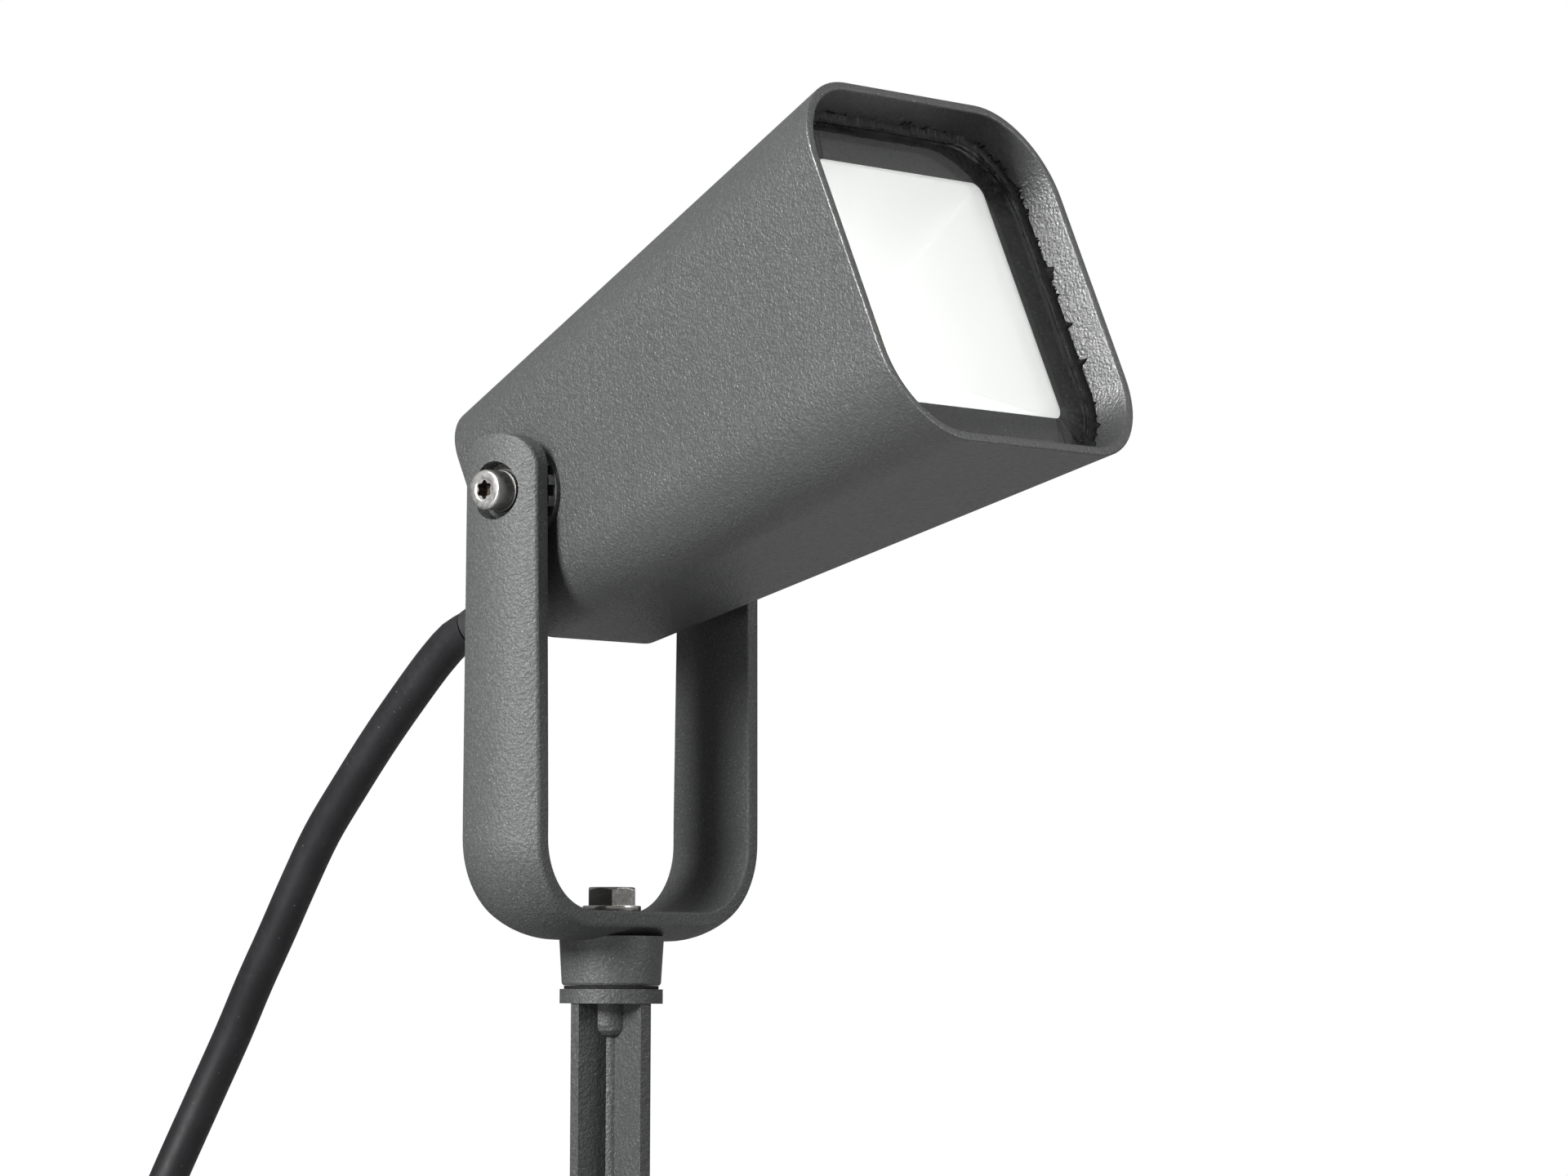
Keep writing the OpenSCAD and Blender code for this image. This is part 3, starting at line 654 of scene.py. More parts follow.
def make_bead():
    """Hand-run silicone bead between the glass edge and the hood: its two edges wander."""
    wall = head_outline(GLASS_Y, WALL_T, 40)
    lengths = [0.0]
    for a, b in zip(wall, wall[1:] + wall[:1]):
        lengths.append(lengths[-1] + (b - a).length)
    rings = []
    j = 0
    for k in range(BEAD_STATIONS):
        s = lengths[-1] * k / BEAD_STATIONS
        while lengths[j + 1] < s:
            j += 1
        a, b = wall[j], wall[(j + 1) % len(wall)]
        p = a.lerp(b, (s - lengths[j]) / max(lengths[j + 1] - lengths[j], 1e-6))
        along = (b - a).normalized()
        inward = Vector((-along.y, along.x))
        climb = 0.35 + max(0.0, bead_waves(p, 3)) * 1.9
        width = GLASS_GAP + 0.35 + 0.5 * bead_waves(p, 17)
        section = [
            (-0.05, GLASS_Y - climb), (0.12, GLASS_Y - climb * 0.95), (0.5, GLASS_Y - 0.35 - 0.2 * climb),
            (width * 0.6, GLASS_Y - 0.25), (width * 0.92, GLASS_Y - 0.12), (width, GLASS_Y + 0.02),
            (GLASS_GAP - 0.05, GLASS_Y + 0.1), (GLASS_GAP - 0.1, GLASS_Y + 2.5), (-0.05, GLASS_Y + 2.5),
        ]
        rings.append([Vector((p.x + inward.x * d, y, p.y + inward.y * d)) for d, y in section])
    bm = bmesh.new()
    loft(bm, rings, wrap=True)
    piece(finish_mesh("silicone_bead", bm, IN_HEAD, 60), "head", "black_silicone", "glass_seal")


make_bead()

REFLECTOR_TOP_Y = LEDGE_Y + 0.3
REFLECTOR_LOW_W = 16.0
REFLECTOR_T = 1.2
PAINTED_SHADE_BAND = 2.4


def make_reflector():
    """A square funnel: up the inside from the light source, over the lip and down the outside."""
    w, low, y = WINDOW_W + 1.0, REFLECTOR_LOW_W, REFLECTOR_TOP_Y
    bm = bmesh.new()
    rings = []
    for y_ring, width, r in (
        (LED_Y + 0.05, low, 1.0), (y + PAINTED_SHADE_BAND, w - 2 * PAINTED_SHADE_BAND, 1.3), (y + 0.7, w - 1.4, 1.6),
        (y + 0.2, w - 0.5, 1.9), (y, w + 0.4, 2.2), (y, w + 6, 6.5), (y + 0.3, w + 6.8, 7),
        (y + 1.2, w + 6.8, 7), (y + 1.5, w + 6, 6.5), (y + 1.5, w + 2 * REFLECTOR_T, 3),
        (LED_Y - 0.05, low + 2 * REFLECTOR_T, 1.8),
    ):
        rings.append([Vector((p.x, y_ring, p.y)) for p in rounded_box(width, width, r, 6)])
    loft(bm, rings, wrap=True)
    bowl = finish_mesh("reflector_bowl", bm, IN_HEAD, 30)
    piece(bowl, "head", "white_plastic", "reflector")
    bowl.data.materials.append(MATERIALS["white_plastic_painted_shade"])
    bowl.data.materials.append(MATERIALS["white_plastic_painted_light"])
    down = IN_HEAD.to_3x3() @ Vector((0, 0, -1))
    to_head = IN_HEAD.inverted()
    # Painted shade on the top wall and on a band just inside the lip; painted light on faces that face +X
    for face in bowl.data.polygons:
        depth = (to_head @ (face.center / MM)).y - REFLECTOR_TOP_Y
        if face.normal.dot(down) > 0.6 or 0.5 < depth < PAINTED_SHADE_BAND:
            face.material_index = 1
        elif face.normal.x > 0.6:
            face.material_index = 2


make_reflector()


# ---------------------------------------------------------------- bracket
EDGE_R = 0.55
# The arms' tops are half superellipses: their rise and their power
ARM_TOP_R = 8.5
ARM_TOP_POWER = 2.4
ARM_L = U_DEPTH - BEND_R
BEND_L = BEND_R * math.pi / 2
HALF_FLOOR = ARM_INNER_X - BEND_R
STRIP_COLUMNS = 14


def strip_place(s):
    """Middle of the strip's inner face and the way out of it, s along from the +X arm's tilt axis."""
    total = 2 * (ARM_L + BEND_L + HALF_FLOOR)
    side = 1
    if s > total / 2:
        s, side = total - s, -1
    if s < ARM_L:
        return Vector((side * ARM_INNER_X, 0, -s)), Vector((side, 0, 0))
    if s < ARM_L + BEND_L:
        t = (s - ARM_L) / BEND_R
        out = Vector((side * math.cos(t), 0, -math.sin(t)))
        return Vector((side * HALF_FLOOR, 0, -ARM_L)) + out * BEND_R, out
    return Vector((side * (HALF_FLOOR - (s - ARM_L - BEND_L)), 0, -U_DEPTH)), Vector((0, 0, -1))


def strip_thickness(w):
    return STRIP_T - (STRIP_R - math.sqrt(STRIP_R**2 - min(abs(w), STRIP_R) ** 2))


def half_width(s):
    """Half the strip's width, s below the tilt axis."""
    return (ARM_W_TOP + (ARM_W_LOW - ARM_W_TOP) * min(max(s / TAPER_L, 0), 1)) / 2


def strip_side():
    """The strip's +Y edge, from one arm's top to the other's, as (w, s, w normal, s normal)."""
    half, straight = ARM_W_TOP / 2, ARM_RISE - ARM_TOP_R
    power, slope = 2 / ARM_TOP_POWER, ARM_TOP_POWER - 1
    top = []
    for k in range(19):
        t = math.radians(87 * (1 - k / 18))
        w = half * math.cos(t) ** power
        rise = ARM_TOP_R * math.sin(t) ** power
        n = Vector(((w / half) ** slope / half, -(rise / ARM_TOP_R) ** slope / ARM_TOP_R)).normalized()
        top.append((w, -straight - rise, n.x, n.y))
    total = 2 * (ARM_L + BEND_L + HALF_FLOOR)
    stations = [12.0 * k for k in range(6)] + [TAPER_L]
    stations += [ARM_L + BEND_L * k / 20 for k in range(21)]
    stations += [ARM_L + BEND_L + HALF_FLOOR * k / 3 for k in (1, 2)]
    first = top + [(half_width(s), s, 1.0, 0.0) for s in stations]
    middle = [(half_width(total / 2), total / 2, 1.0, 0.0)]
    return first + middle + [(w, total - s, nw, -ns) for w, s, nw, ns in reversed(first)]


def make_bracket():
    side = strip_side()
    n = len(side)
    ends = [1 - 2 * k / STRIP_COLUMNS for k in range(1, STRIP_COLUMNS)]
    loop = [(w, s, nw, ns) for w, s, nw, ns in side]
    loop += [(side[-1][0] * k, side[-1][1], 0.0, 1.0) for k in ends]
    loop += [(-w, s, -nw, ns) for w, s, nw, ns in reversed(side)]
    loop += [(-side[0][0] * k, side[0][1], 0.0, -1.0) for k in ends]

    def point(w, s, t):
        place, out = strip_place(s)
        return place + out * t + Vector((0, w, 0))

    bm = bmesh.new()
    levels = []
    for turn in quarter_turn(4):
        inset, rise = EDGE_R * (1 - math.sin(turn)), EDGE_R * (1 - math.cos(turn))
        levels.append([point(w - nw * inset, s - ns * inset, rise) for w, s, nw, ns in loop])
    for turn in quarter_turn(4):
        inset, drop = EDGE_R * (1 - math.cos(turn)), EDGE_R * (1 - math.sin(turn))
        inner = [(w - nw * inset, s - ns * inset) for w, s, nw, ns in loop]
        levels.append([point(w, s, strip_thickness(w) - drop) for w, s in inner])
    made = loft(bm, levels, cap_start=False, cap_end=False)
    for ring, outside in ((made[0], False), (made[-1], True)):
        right = ring[:n]
        end = ring[n : n + len(ends)]
        left = list(reversed(ring[n + len(ends) : 2 * n + len(ends)]))
        start = list(reversed(ring[2 * n + len(ends) :]))
        rows = []
        for i in range(n):
            if i == 0:
                rows.append([right[0]] + start + [left[0]])
            elif i == n - 1:
                rows.append([right[-1]] + end + [left[-1]])
            else:
                w, s, nw, ns = side[i]
                w, s = w - nw * EDGE_R, s - ns * EDGE_R
                row = [
                    bm.verts.new(point(w * k, s, strip_thickness(w * k) if outside else 0.0)) for k in ends
                ]
                rows.append([right[i]] + row + [left[i]])
        for a, b in zip(rows, rows[1:]):
            for k in range(len(a) - 1):
                bm.faces.new((a[k], a[k + 1], b[k + 1], b[k]))
    strip = finish_mesh("bracket_strip", bm, AT_PIVOT)
    bore, seat = TILT_BORE_D / 2, COUNTERBORE_D / 2
    start, end = ARM_INNER_X - 3, ARM_INNER_X + 12
    for turn in SIDES:
        bm = bmesh.new()
        lathe(
            bm,
            [(0, start, 0), (bore, start, 0), (bore, SEAT_X, 0),
             (seat, SEAT_X, 0.3), (seat, end, 0), (0, end, 0)],
            along_x(turn), 96,
        )
        boolean(strip, finish_mesh("tool", bm), "DIFFERENCE")
    boolean(strip, round_tool(Matrix(), PAN_BORE_D / 2, STAKE_H - 3, STAKE_H + 27, 64), "DIFFERENCE")
    even_normals(strip)
    piece(strip, "bracket", "bracket_coat", "u_bracket")


make_bracket()


# ---------------------------------------------------------------- fasteners
U_FLOOR_Z = PIVOT_Z - U_DEPTH
BOLT_WASHER_T = 1.2
PAN_BOLT_TURN = 41.0
HEX_W, HEX_H = 10, 4
THREAD_R, CORE_R, PITCH = 3.0, 2.62, 1.0
BOLT_REACH = 8
BOLT_BASE_Z = U_FLOOR_Z + BOLT_WASHER_T


def make_hex_bolt_shank():
    """A shank threaded along its lower part."""
    bm = bmesh.new()
    profile = [(0, STAKE_H - BOLT_REACH, 0), (2.4, STAKE_H - BOLT_REACH, 0)]
    z = STAKE_H - BOLT_REACH + 0.6
    while z < BOLT_BASE_Z - 1.5:
        profile += [(THREAD_R, z, 0), (THREAD_R, z + 0.15, 0), (CORE_R, z + 0.55, 0), (CORE_R, z + 0.65, 0)]
        z += PITCH
    end = BOLT_BASE_Z + 0.3
    profile += [(THREAD_R, BOLT_BASE_Z - 0.8, 0), (THREAD_R, end, 0), (0, end, 0)]
    lathe(bm, profile, Matrix(), 48)
    piece(finish_mesh("hex_bolt_shank", bm, sharp=25), "stake", "stainless")


def make_hex_bolt():
    """The head: a hexagon with turned chamfers and a shallow dish on top."""
    z = BOLT_BASE_Z
    bm = bmesh.new()
    bar(bm, hexagon(HEX_W, PAN_BOLT_TURN, 0.25), z, z + HEX_H)
    bolt = finish_mesh("hex_bolt", bm)
    bm = bmesh.new()
    lathe(
        bm,
        [(0, z - 1, 0), (5.2, z - 1, 0), (5.9, z + 0.5, 0), (5.9, z + 3.2, 0), (4.75, z + HEX_H, 0.1),
         (3.7, z + HEX_H, 0.15), (3.5, z + 3.75, 0.1), (0, z + 3.7, 0)],
        Matrix(), 96,
    )
    boolean(bolt, finish_mesh("tool", bm), "INTERSECT", 25)
    soften(bolt, 0.2, 2, 25)
    piece(bolt, "stake", "stainless", "pan_bolt")
    # Painted shade: the bolt takes a darker copy of the stainless finish
    refinish(bolt, "stainless_bolt_painted_shade")


make_hex_bolt()
make_hex_bolt_shank()


def washer(name, r_in, r_out, t, places, slot_name, body, node, edge=0.25):
    bm = bmesh.new()
    for place in places:
        corners = [(r_in, 0, 0.1), (r_out, 0, edge), (r_out, t, edge), (r_in, t, 0.1)]
        ring_solid(bm, corners, place, 72)
    return piece(finish_mesh(name, bm), body, slot_name, node)


FLAT_T, SPRING_T = 0.9, 1.3
floor_seat, flange_seat = [at(0, 0, U_FLOOR_Z)], [at(0, 0, STAKE_H)]
arm_seats = [along_x(side, SEAT_X) for side in SIDES]
washer("bolt_washer", 3.2, 6.3, BOLT_WASHER_T, floor_seat, "stainless", "stake", "pan_bolt_washer")
gasket = washer("swivel_washer", 3.3, 10.2, 0.75, flange_seat, "rubber", "stake", "friction_washer", 0.15)
flat_washers = washer("flat_washers", 2.65, 5.0, FLAT_T, arm_seats, "stainless", "head", "tilt_flat_washers")
# Painted shade: the washer between collar and flange takes a darker rubber
refinish(gasket, "rubber_painted_shade")
# Painted shade: the flat washers in the counterbores take a darker finish
refinish(flat_washers, "stainless_painted_shade")


def make_spring_washers():
    """Split rings, their ends a little apart and out of step."""
    low, high = 0.08, SPRING_T - 0.08
    bm = bmesh.new()
    for side in SIDES:
        place = along_x(side, SEAT_X + FLAT_T)
        rings = []
        for k in range(61):
            t = math.radians(100 + 344 * k / 60)
            lift = 0.12 * (k / 60 - 0.5)
            section = filleted(
                [(2.7, low, 0.15), (4.55, low, 0.3), (4.55, high, 0.3), (2.7, high, 0.15)], 2, closed=True
            )
            rings.append([place @ Vector((r * math.cos(t), r * math.sin(t), z + lift)) for r, z in section])
        loft(bm, rings)
    rings_pair = piece(finish_mesh("spring_washers", bm), "head", "stainless", "tilt_spring_washers")
    # Painted shade: the spring washers in the counterbores take a darker finish
    refinish(rings_pair, "stainless_painted_shade")


make_spring_washers()

SCREW_HEAD_X = SEAT_X + FLAT_T + SPRING_T
SCREW_HEAD_R, SCREW_HEAD_H = 4.25, 5.0
SCREW_END_X = 20
DRIVE_R, DRIVE_WAVE = 1.82, 0.26


def lobed(r, wave, sides=72):
    """Outline of the six-lobed drive."""
    line = []
    for t in around(sides):
        reach = r + wave * math.cos(6 * t)
        line.append(Vector((reach * math.cos(t), reach * math.sin(t))))
    return line


def make_tilt_screw(name, side, *nodes):
    """A cylinder-head screw whose six-lobed recess has painted shade inside."""
    place = along_x(side, SCREW_HEAD_X)
    end = SCREW_END_X - SCREW_HEAD_X
    r, top = SCREW_HEAD_R, SCREW_HEAD_H
    bm = bmesh.new()
    lathe(
        bm,
        [(0, end, 0), (2.0, end, 0), (2.5, end + 0.6, 0), (2.5, -0.3, 0.2), (r - 0.1, 0, 0.15), (r, 0.3, 0.1),
         (r, top, 0.55), (2.5, top, 0.2), (2.3, top - 0.12, 0.1), (0, top - 0.12, 0)],
        place, 96,
    )
    screw = finish_mesh(name, bm, sharp=30)
    drive = lobed(DRIVE_R, DRIVE_WAVE)
    stations = ((2.2, 0.9), (2.5, 1.0), (top + 1, 1.0))
    bm = bmesh.new()
    loft(bm, [[place @ Vector((p.x * k, p.y * k, z)) for p in drive] for z, k in stations])
    boolean(screw, finish_mesh("tool", bm), "DIFFERENCE", 30)
    even_normals(screw)
    piece(screw, "head", "stainless", *nodes)
    refinish(screw, "stainless_screw")
    # The faces inside the drive recess take the painted-shade finish
    screw.data.materials.append(MATERIALS["stainless_recess_painted_shade"])
    to_screw = place.inverted()
    for face in screw.data.polygons:
        p = to_screw @ (face.center / MM)
        if math.hypot(p.x, p.y) < DRIVE_R + 0.33 and 2.0 < p.z < top - 0.2:
            face.material_index = 1


make_tilt_screw("tilt_screw_left", -1, "tilt_screws")
make_tilt_screw("tilt_screw_right", 1)


# ---------------------------------------------------------------- cable gland
AT_GLAND = IN_HEAD @ at(0, REAR_REACH, -GLAND_DROP) @ ALONG_Y


GLAND_END = 11
NUT_Z = GLAND_HEX_T + 0.2
NUT_R, NUT_RIDGES, RIDGE_H = 9.35, 24, 0.28


def make_gland_body():
    """A hexagon against the housing, with a threaded end on each side of it."""
    bm = bmesh.new()
    r_in, thread_z = GLAND_INNER_R, GLAND_HEX_T - 0.4
    bar(bm, hexagon(20, 0, 0.8), 0.02, GLAND_HEX_T, AT_GLAND, 0.35)
    ring_solid(bm, [(r_in, -8, 0.1), (7.9, -8, 0.3), (7.9, 0.5, 0), (r_in, 0.5, 0)], AT_GLAND, 64)
    outside = [(r_in, thread_z, 0), (7.5, thread_z, 0), (7.5, GLAND_END, 0.3), (r_in, GLAND_END, 0.2)]
    ring_solid(bm, outside, AT_GLAND, 64)
    piece(finish_mesh("gland_hex", bm), "head", "gland_plastic", "gland_body")


def make_gland_cap():
    """A ridged nut that rounds in to the lead."""
    grip = []
    for t in around(144):
        r = NUT_R + RIDGE_H * (0.5 + 0.5 * math.cos(NUT_RIDGES * t))
        grip.append(Vector((r * math.cos(t), r * math.sin(t))))
    end = NUT_Z + NUT_L
    stations = [(NUT_Z, 0.97), (NUT_Z + 0.4, 1.0), (end - 1.5, 1.0), (end - 0.4, 0.965)]
    rings = [[AT_GLAND @ Vector((p.x * k, p.y * k, z)) for p in grip] for z, k in stations]
    for r, z in (
        (8.7, end + 0.5), (7.7, end + 2.0), (7.0, end + 2.7), (6.4, end + 2.9), (5.9, end + 2.7), (5.9, end),
        (7.55, NUT_Z + 7.4), (7.55, NUT_Z),
    ):
        rings.append([AT_GLAND @ Vector((r * math.cos(t), r * math.sin(t), z)) for t in around(144)])
    bm = bmesh.new()
    loft(bm, rings, wrap=True)
    piece(finish_mesh("gland_cap", bm), "head", "gland_plastic", "gland_nut")


def make_strain_sleeve():
    """A tapered sleeve with four grooves round it."""
    start, end = GLAND_HEX_T + NUT_L, GLAND_HEX_T + NUT_L + SLEEVE_L
    thick, thin = LEAD_D / 2 + 1.5, LEAD_D / 2 + 0.06
    corners = [(0, start, 0), (thick, start, 0.2)]
    for k in range(4):
        z = start + 3.6 + 2.9 * k
        r = thick + (thin - thick) * (z - start) / SLEEVE_L
        corners += [(r, z, 0.25), (r - 0.35, z + 0.35, 0.2)]
        corners += [(r - 0.35, z + 0.95, 0.2), (r - 0.06, z + 1.3, 0.25)]
    corners += [(thin, end, 0), (0, end, 0)]
    bm = bmesh.new()
    lathe(bm, corners, AT_GLAND, 48, 2)
    piece(finish_mesh("strain_sleeve", bm), "head", "rubber", "gland_sleeve")


make_gland_body()
make_gland_cap()
make_strain_sleeve()


# ---------------------------------------------------------------- plug and coil tie
AT_PLUG = at(*PLUG) @ ALONG_Y
PIN_FACE = BOOT_L + PLUG_L
EARTH_SLOT_Y = 18.2


def make_plug_grip():
    """The plug's body: grooves round it and a slot for each earth strip."""
    base, end, r = BOOT_L, PIN_FACE, PLUG_D / 2
    corners = [(0, base, 0), (10.5, base, 1.0), (13.2, base + 3, 3)]
    corners += [(14.2, base + 8, 4), (r - 0.6, base + 14, 3)]
    for k in range(3):
        z = base + 17.5 + 4 * k
        corners += [(r, z, 0.5), (r - 0.7, z + 0.6, 0.4), (r - 0.7, z + 1.4, 0.4), (r, z + 2.0, 0.5)]
    corners += [(r, end - 0.01, 1.0), (r - 2.4, end, 0.6), (0, end, 0)]
    bm = bmesh.new()
    lathe(bm, corners, AT_PLUG, 96, 3)
    grip = finish_mesh("plug_grip", bm)
    slot = filleted([(-4, -2, 0.6), (4, -2, 0.6), (4, 3.5, 0), (-4, 3.5, 0)], 3, closed=True)
    for side in SIDES:
        # the slot starts below the earth strip and runs out at the pin face
        bm = bmesh.new()
        loft(bm, [[AT_PLUG @ Vector((p.x, -side * (EARTH_SLOT_Y + p.y), z)) for p in slot]
                  for z in (base + 14, end + 2)])
        boolean(grip, finish_mesh("tool", bm), "DIFFERENCE")
    even_normals(grip)
    return piece(grip, "bracket", "plug_rubber", "plug_body")


def make_plug_neck():
    """A ribbed boot that widens from the lead to the plug."""
    thin, thick = LEAD_D / 2 + 0.9, 7.5
    corners = [(0, 0, 0), (thin, 0, 0.4)]
    for k in range(5):
        z = 2.6 + 4 * k
        r = thin + (thick - thin) * z / BOOT_L
        corners += [(r, z, 0.3), (r - 0.7, z + 0.4, 0.2), (r - 0.7, z + 1.5, 0.2), (r + 0.3, z + 1.9, 0.3)]
    corners += [(thick, BOOT_L, 0.2), (0, BOOT_L, 0)]
    bm = bmesh.new()
    lathe(bm, corners, AT_PLUG, 48, 2)
    return piece(finish_mesh("plug_neck", bm), "bracket", "plug_rubber", "plug_boot")


def make_pins():
    root, end, r = PIN_FACE - 0.2, PIN_FACE + PIN_L, PIN_D / 2
    bm = bmesh.new()
    for side in SIDES:
        place = AT_PLUG @ at(side * PIN_APART / 2, 0, 0)
        lathe(bm, [(0, root, 0), (r, root, 0), (r, end - 1, 0.5), (1.5, end, 0.4), (0, end, 0)], place, 48)
    return piece(finish_mesh("pin_pair", bm), "bracket", "nickel_plate", "plug_pins")


plug_grip, plug_neck, pin_pair = make_plug_grip(), make_plug_neck(), make_pins()

TIE_ANGLE = -55.0
TIE_W, TIE_T, TIE_GAP = 9.8, 0.76, 0.45


def make_tie():
    """A strap once round the bundle."""
    half_w = LEAD_D + 0.75
    low, high = TIE_GAP, COIL_LIFT + 2 * LEAD_D + TIE_GAP
    turn = Matrix.Rotation(math.radians(TIE_ANGLE), 4, "Z")
    place = at(0, COIL_Y, 0) @ turn @ at(COIL_D / 2, 0, 0)
    corners = [(-half_w, low, 2), (half_w, low, 2), (half_w, high, 2.6), (-half_w, high, 2.6)]
    outline = filleted(corners, 6, closed=True)
    w, t = TIE_W / 2, TIE_T / 2
    section = filleted([(-w, -t, 0.25), (w, -t, 0.25), (w, t, 0.25), (-w, t, 0.25)], 2, closed=True)
    n = len(outline)
    rings = []
    for i, p in enumerate(outline):
        along = (outline[(i + 1) % n] - outline[i - 1]).normalized()
        out = Vector((along.y, -along.x))
        rings.append([place @ Vector((p.x + out.x * q.y, q.x, p.y + out.y * q.y)) for q in section])
    bm = bmesh.new()
    loft(bm, rings, wrap=True)
    return piece(finish_mesh("coil_strap", bm), "bracket", "tie_strap", "coil_tie")


coil_strap = make_tie()

# ---------------------------------------------------------------- mains lead
# Middle of the lead, measured from the tilt axis, in millimetres
LEAD_ROUTE = [
    (0, 41.4, -26.2), (0, 46, -28.2), (0, 51, -32.2), (0, 57, -38), (0, 67.5, -49), (0, 77, -60),
    (0, 85.5, -70.5), (0, 92.5, -81.5), (0, 99, -92.5), (0, 106, -104), (0, 112.5, -115.5), (-2, 120, -131),
    (-6, 127, -149), (-11.5, 132.8, -169), (-18, 136.6, -190), (-24.5, 138.7, -210), (-31, 139.3, -230),
    (-37.5, 139.3, -250), (-42.5, 139.3, -268), (-44.5, 139.3, -284), (-41.5, 139.3, -298.5),
    (-34, 139.3, -310.5), (-23, 139.3, -318.8), (-10, 139.3, -322.8), (3, 139.2, -323),
]
# Tail from the coil to the plug, measured from the stake's tip
TAIL_ROUTE = [
    (-39.8, 55.8, 13.7), (-46.1, 63.6, 13.8), (-52.2, 71.5, 14.3), (-57.8, 79.7, 15.3), (-62.5, 88.5, 16.6),
    (-66, 97.8, 18), (-68.2, 107.5, 18.9), (-69, 117.5, 19.1),
]
# Angles round the coil, in degrees: where the lead joins and leaves it
COIL_START, COIL_END = 75.0, -1221.0
COIL_STEP = 9.0
LEAD_STEP = 3
# Angles wound by then, where it moves from ring to ring
MOVES_IN, MOVES_UP, MOVES_OUT = (205, 287), (530, 650), (846, 1013)


def ease(x, start, end):
    """0 before start, 1 after end, and smooth between them."""
    t = min(max((x - start) / (end - start), 0), 1)
    return t * t * (3 - 2 * t)


def coil_points():
    """Two rows of two turns: outer and inner on the ground, then inner and outer on top of them."""
    outer, inner = COIL_D / 2 + LEAD_D / 2, COIL_D / 2 - LEAD_D / 2
    low = COIL_LIFT + LEAD_D / 2
    points = []
    for k in range(round((COIL_START - COIL_END) / COIL_STEP)):
        angle = COIL_START - COIL_STEP * k
        wound = -angle
        r = outer + (inner - outer) * (ease(wound, *MOVES_IN) - ease(wound, *MOVES_OUT))
        z = low + LEAD_D * ease(wound, *MOVES_UP)
        a = math.radians(angle)
        points.append(Vector((r * math.cos(a), COIL_Y + r * math.sin(a), z)))
    return points


def lead_line():
    down = [Vector(p) + Vector((0, 0, PIVOT_Z)) for p in LEAD_ROUTE]
    return smooth_line(down + coil_points() + [Vector(p) for p in TAIL_ROUTE], LEAD_STEP)


lead_points = lead_line()
lead_bm = bmesh.new()
loft(lead_bm, tube_rings(lead_points, LEAD_D / 2, 24))
lead_mesh = finish_mesh("mains_lead_cable", lead_bm, sharp=60)
mains_lead = piece(lead_mesh, None, "cable_rubber", "mains_lead", "lead_coil", "lead_tail")
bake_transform(mains_lead)

# ---------------------------------------------------------------- CAD parts that stay
EDGE_BEVEL = 0.12
SOFT_EDGES = {
    "ground_stake": 0.45, "tilt_disc_left": 0.2, "tilt_disc_right": 0.2,
    "mounting_plate": 0.2, "driver_case": 0.8, "terminal_block": 0.4, "led_board": 0.15,
}
for name, node in frame["nodes"].items():
    if node.hide_render:
        continue
    paint(node, SLOT_OF[name])
    soften(node, SOFT_EDGES.get(name, EDGE_BEVEL))

# ---------------------------------------------------------------- stage and light
FLOOR_R = 3.0
FLOOR_COLOUR = (0.46, 0.46, 0.46)


def make_floor():
    bm = bmesh.new()
    bmesh.ops.create_circle(bm, cap_ends=True, segments=128, radius=FLOOR_R)
    mesh = bpy.data.meshes.new("floor")
    bm.to_mesh(mesh)
    bm.free()
    floor = bpy.data.objects.new("floor", mesh)
    bpy.context.scene.collection.objects.link(floor)
    mesh.materials.append(plastic("floor_paper", FLOOR_COLOUR, 0.8, 0.02))


make_floor()


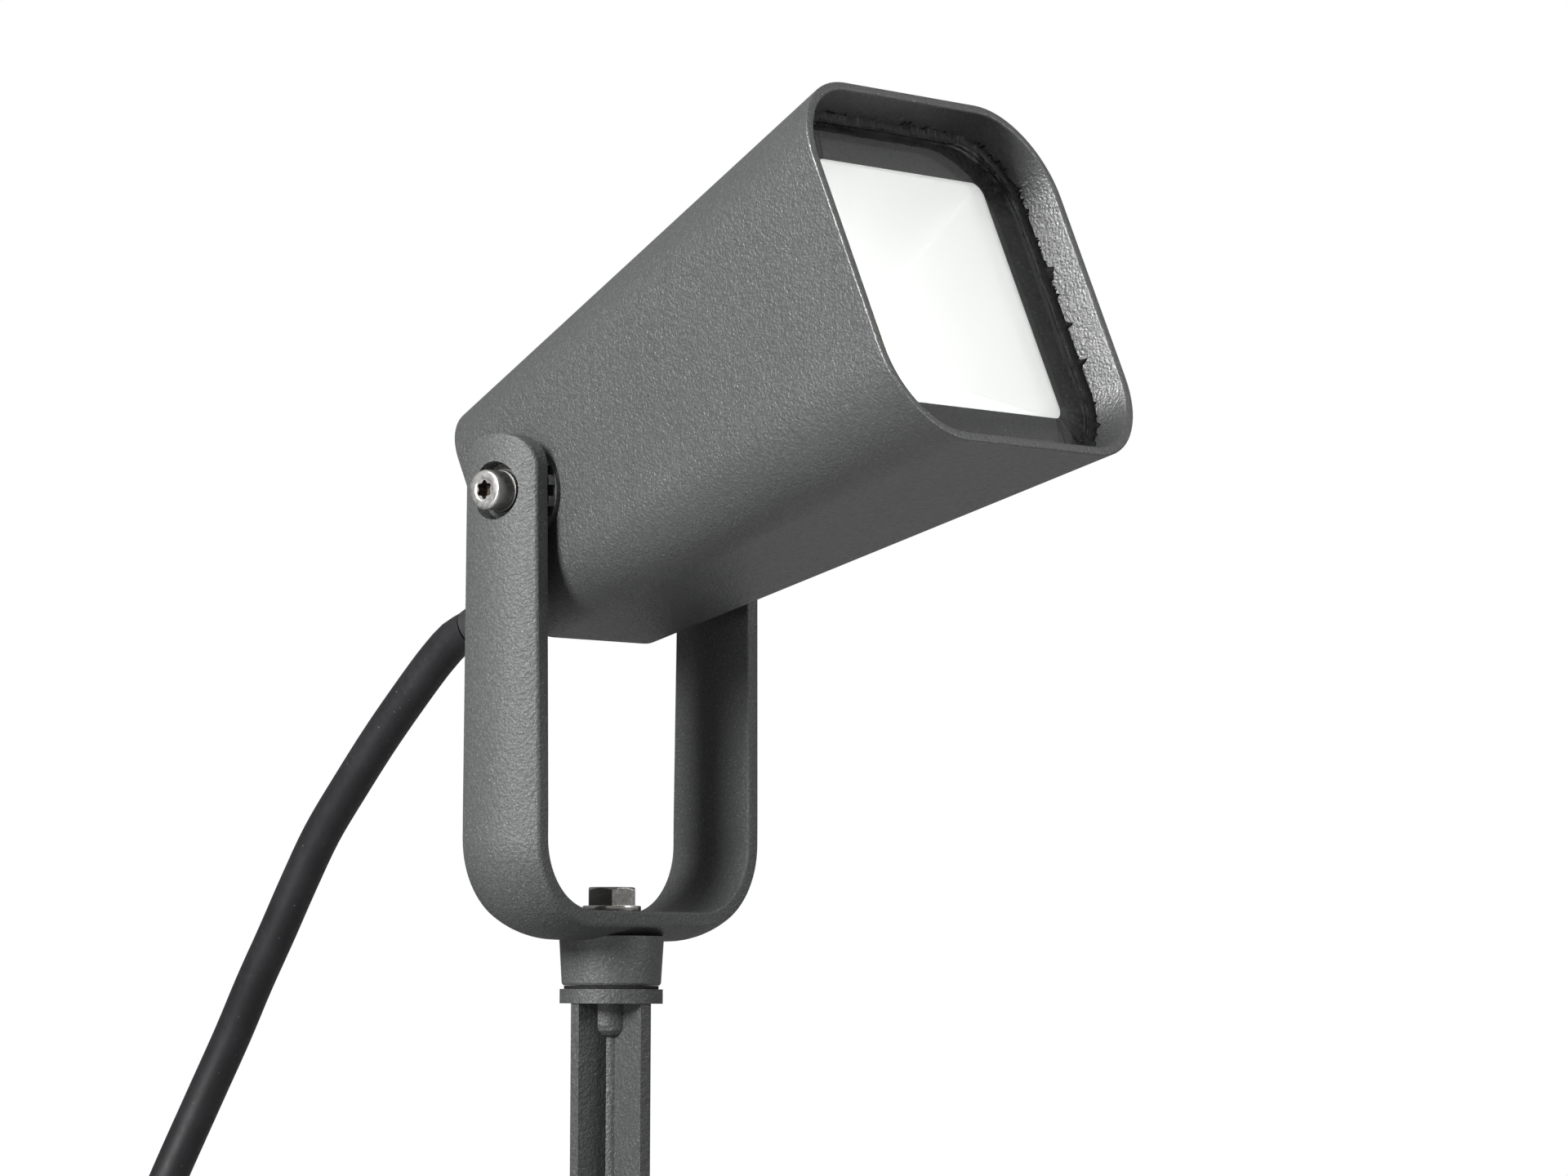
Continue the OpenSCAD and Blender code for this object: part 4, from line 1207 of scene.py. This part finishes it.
def area_light(name, place, size, power, spread):
    """A rectangular lamp, in metres, watts and degrees, turned towards the object."""
    data = bpy.data.lights.new(name, "AREA")
    data.shape = "RECTANGLE"
    data.size, data.size_y = size
    data.energy = power
    data.spread = math.radians(spread)
    light = bpy.data.objects.new(name, data)
    light.location = place
    light.rotation_euler = (LAMP_MIDDLE - Vector(place)).to_track_quat("-Z", "Y").to_euler()
    light.visible_camera = False
    bpy.context.scene.collection.objects.link(light)


LAMP_MIDDLE = Vector((0, -0.07, 0.36))
area_light("key", (-1.25, -0.015, 0.876), (0.35, 0.7), 4.1, 46)
area_light("low", (-1.30, -0.03, 0.14), (0.35, 0.22), 1.5, 100)
area_light("front", (0.56, -1.46, 0.92), (0.5, 0.5), 12.5, 180)
area_light("fill", (1.2, -0.65, 1.05), (1.4, 1.4), 0.5, 180)

# Light from below and from above, and the heights of direction between which it changes
AMBIENT_LOW, AMBIENT_HIGH = 0.025, 0.32
HORIZON_LOW, HORIZON_HIGH = -0.35, 0.45
WHITE = (1, 1, 1, 1)


def make_surround():
    """White where the camera looks past the object; a soft grey dome for every other ray."""
    world = bpy.data.worlds.new("studio")
    bpy.context.scene.world = world
    world.use_nodes = True
    nodes, links = world.node_tree.nodes, world.node_tree.links
    dome = nodes["Background"]
    dome.inputs["Color"].default_value = WHITE
    backdrop = nodes.new("ShaderNodeBackground")
    backdrop.inputs["Color"].default_value = WHITE
    direction = nodes.new("ShaderNodeTexCoord")
    split = nodes.new("ShaderNodeSeparateXYZ")
    height = nodes.new("ShaderNodeMapRange")
    set_range(height, HORIZON_LOW, HORIZON_HIGH, AMBIENT_LOW, AMBIENT_HIGH)
    links.new(direction.outputs["Generated"], split.inputs["Vector"])
    links.new(split.outputs["Z"], height.inputs["Value"])
    links.new(height.outputs["Result"], dome.inputs["Strength"])
    rays = nodes.new("ShaderNodeLightPath")
    chooser = nodes.new("ShaderNodeMixShader")
    links.new(rays.outputs["Is Camera Ray"], chooser.inputs["Fac"])
    links.new(dome.outputs["Background"], chooser.inputs[1])
    links.new(backdrop.outputs["Background"], chooser.inputs[2])
    links.new(chooser.outputs["Shader"], nodes["World Output"].inputs["Surface"])


make_surround()
bpy.context.scene.view_settings.view_transform = "Standard"
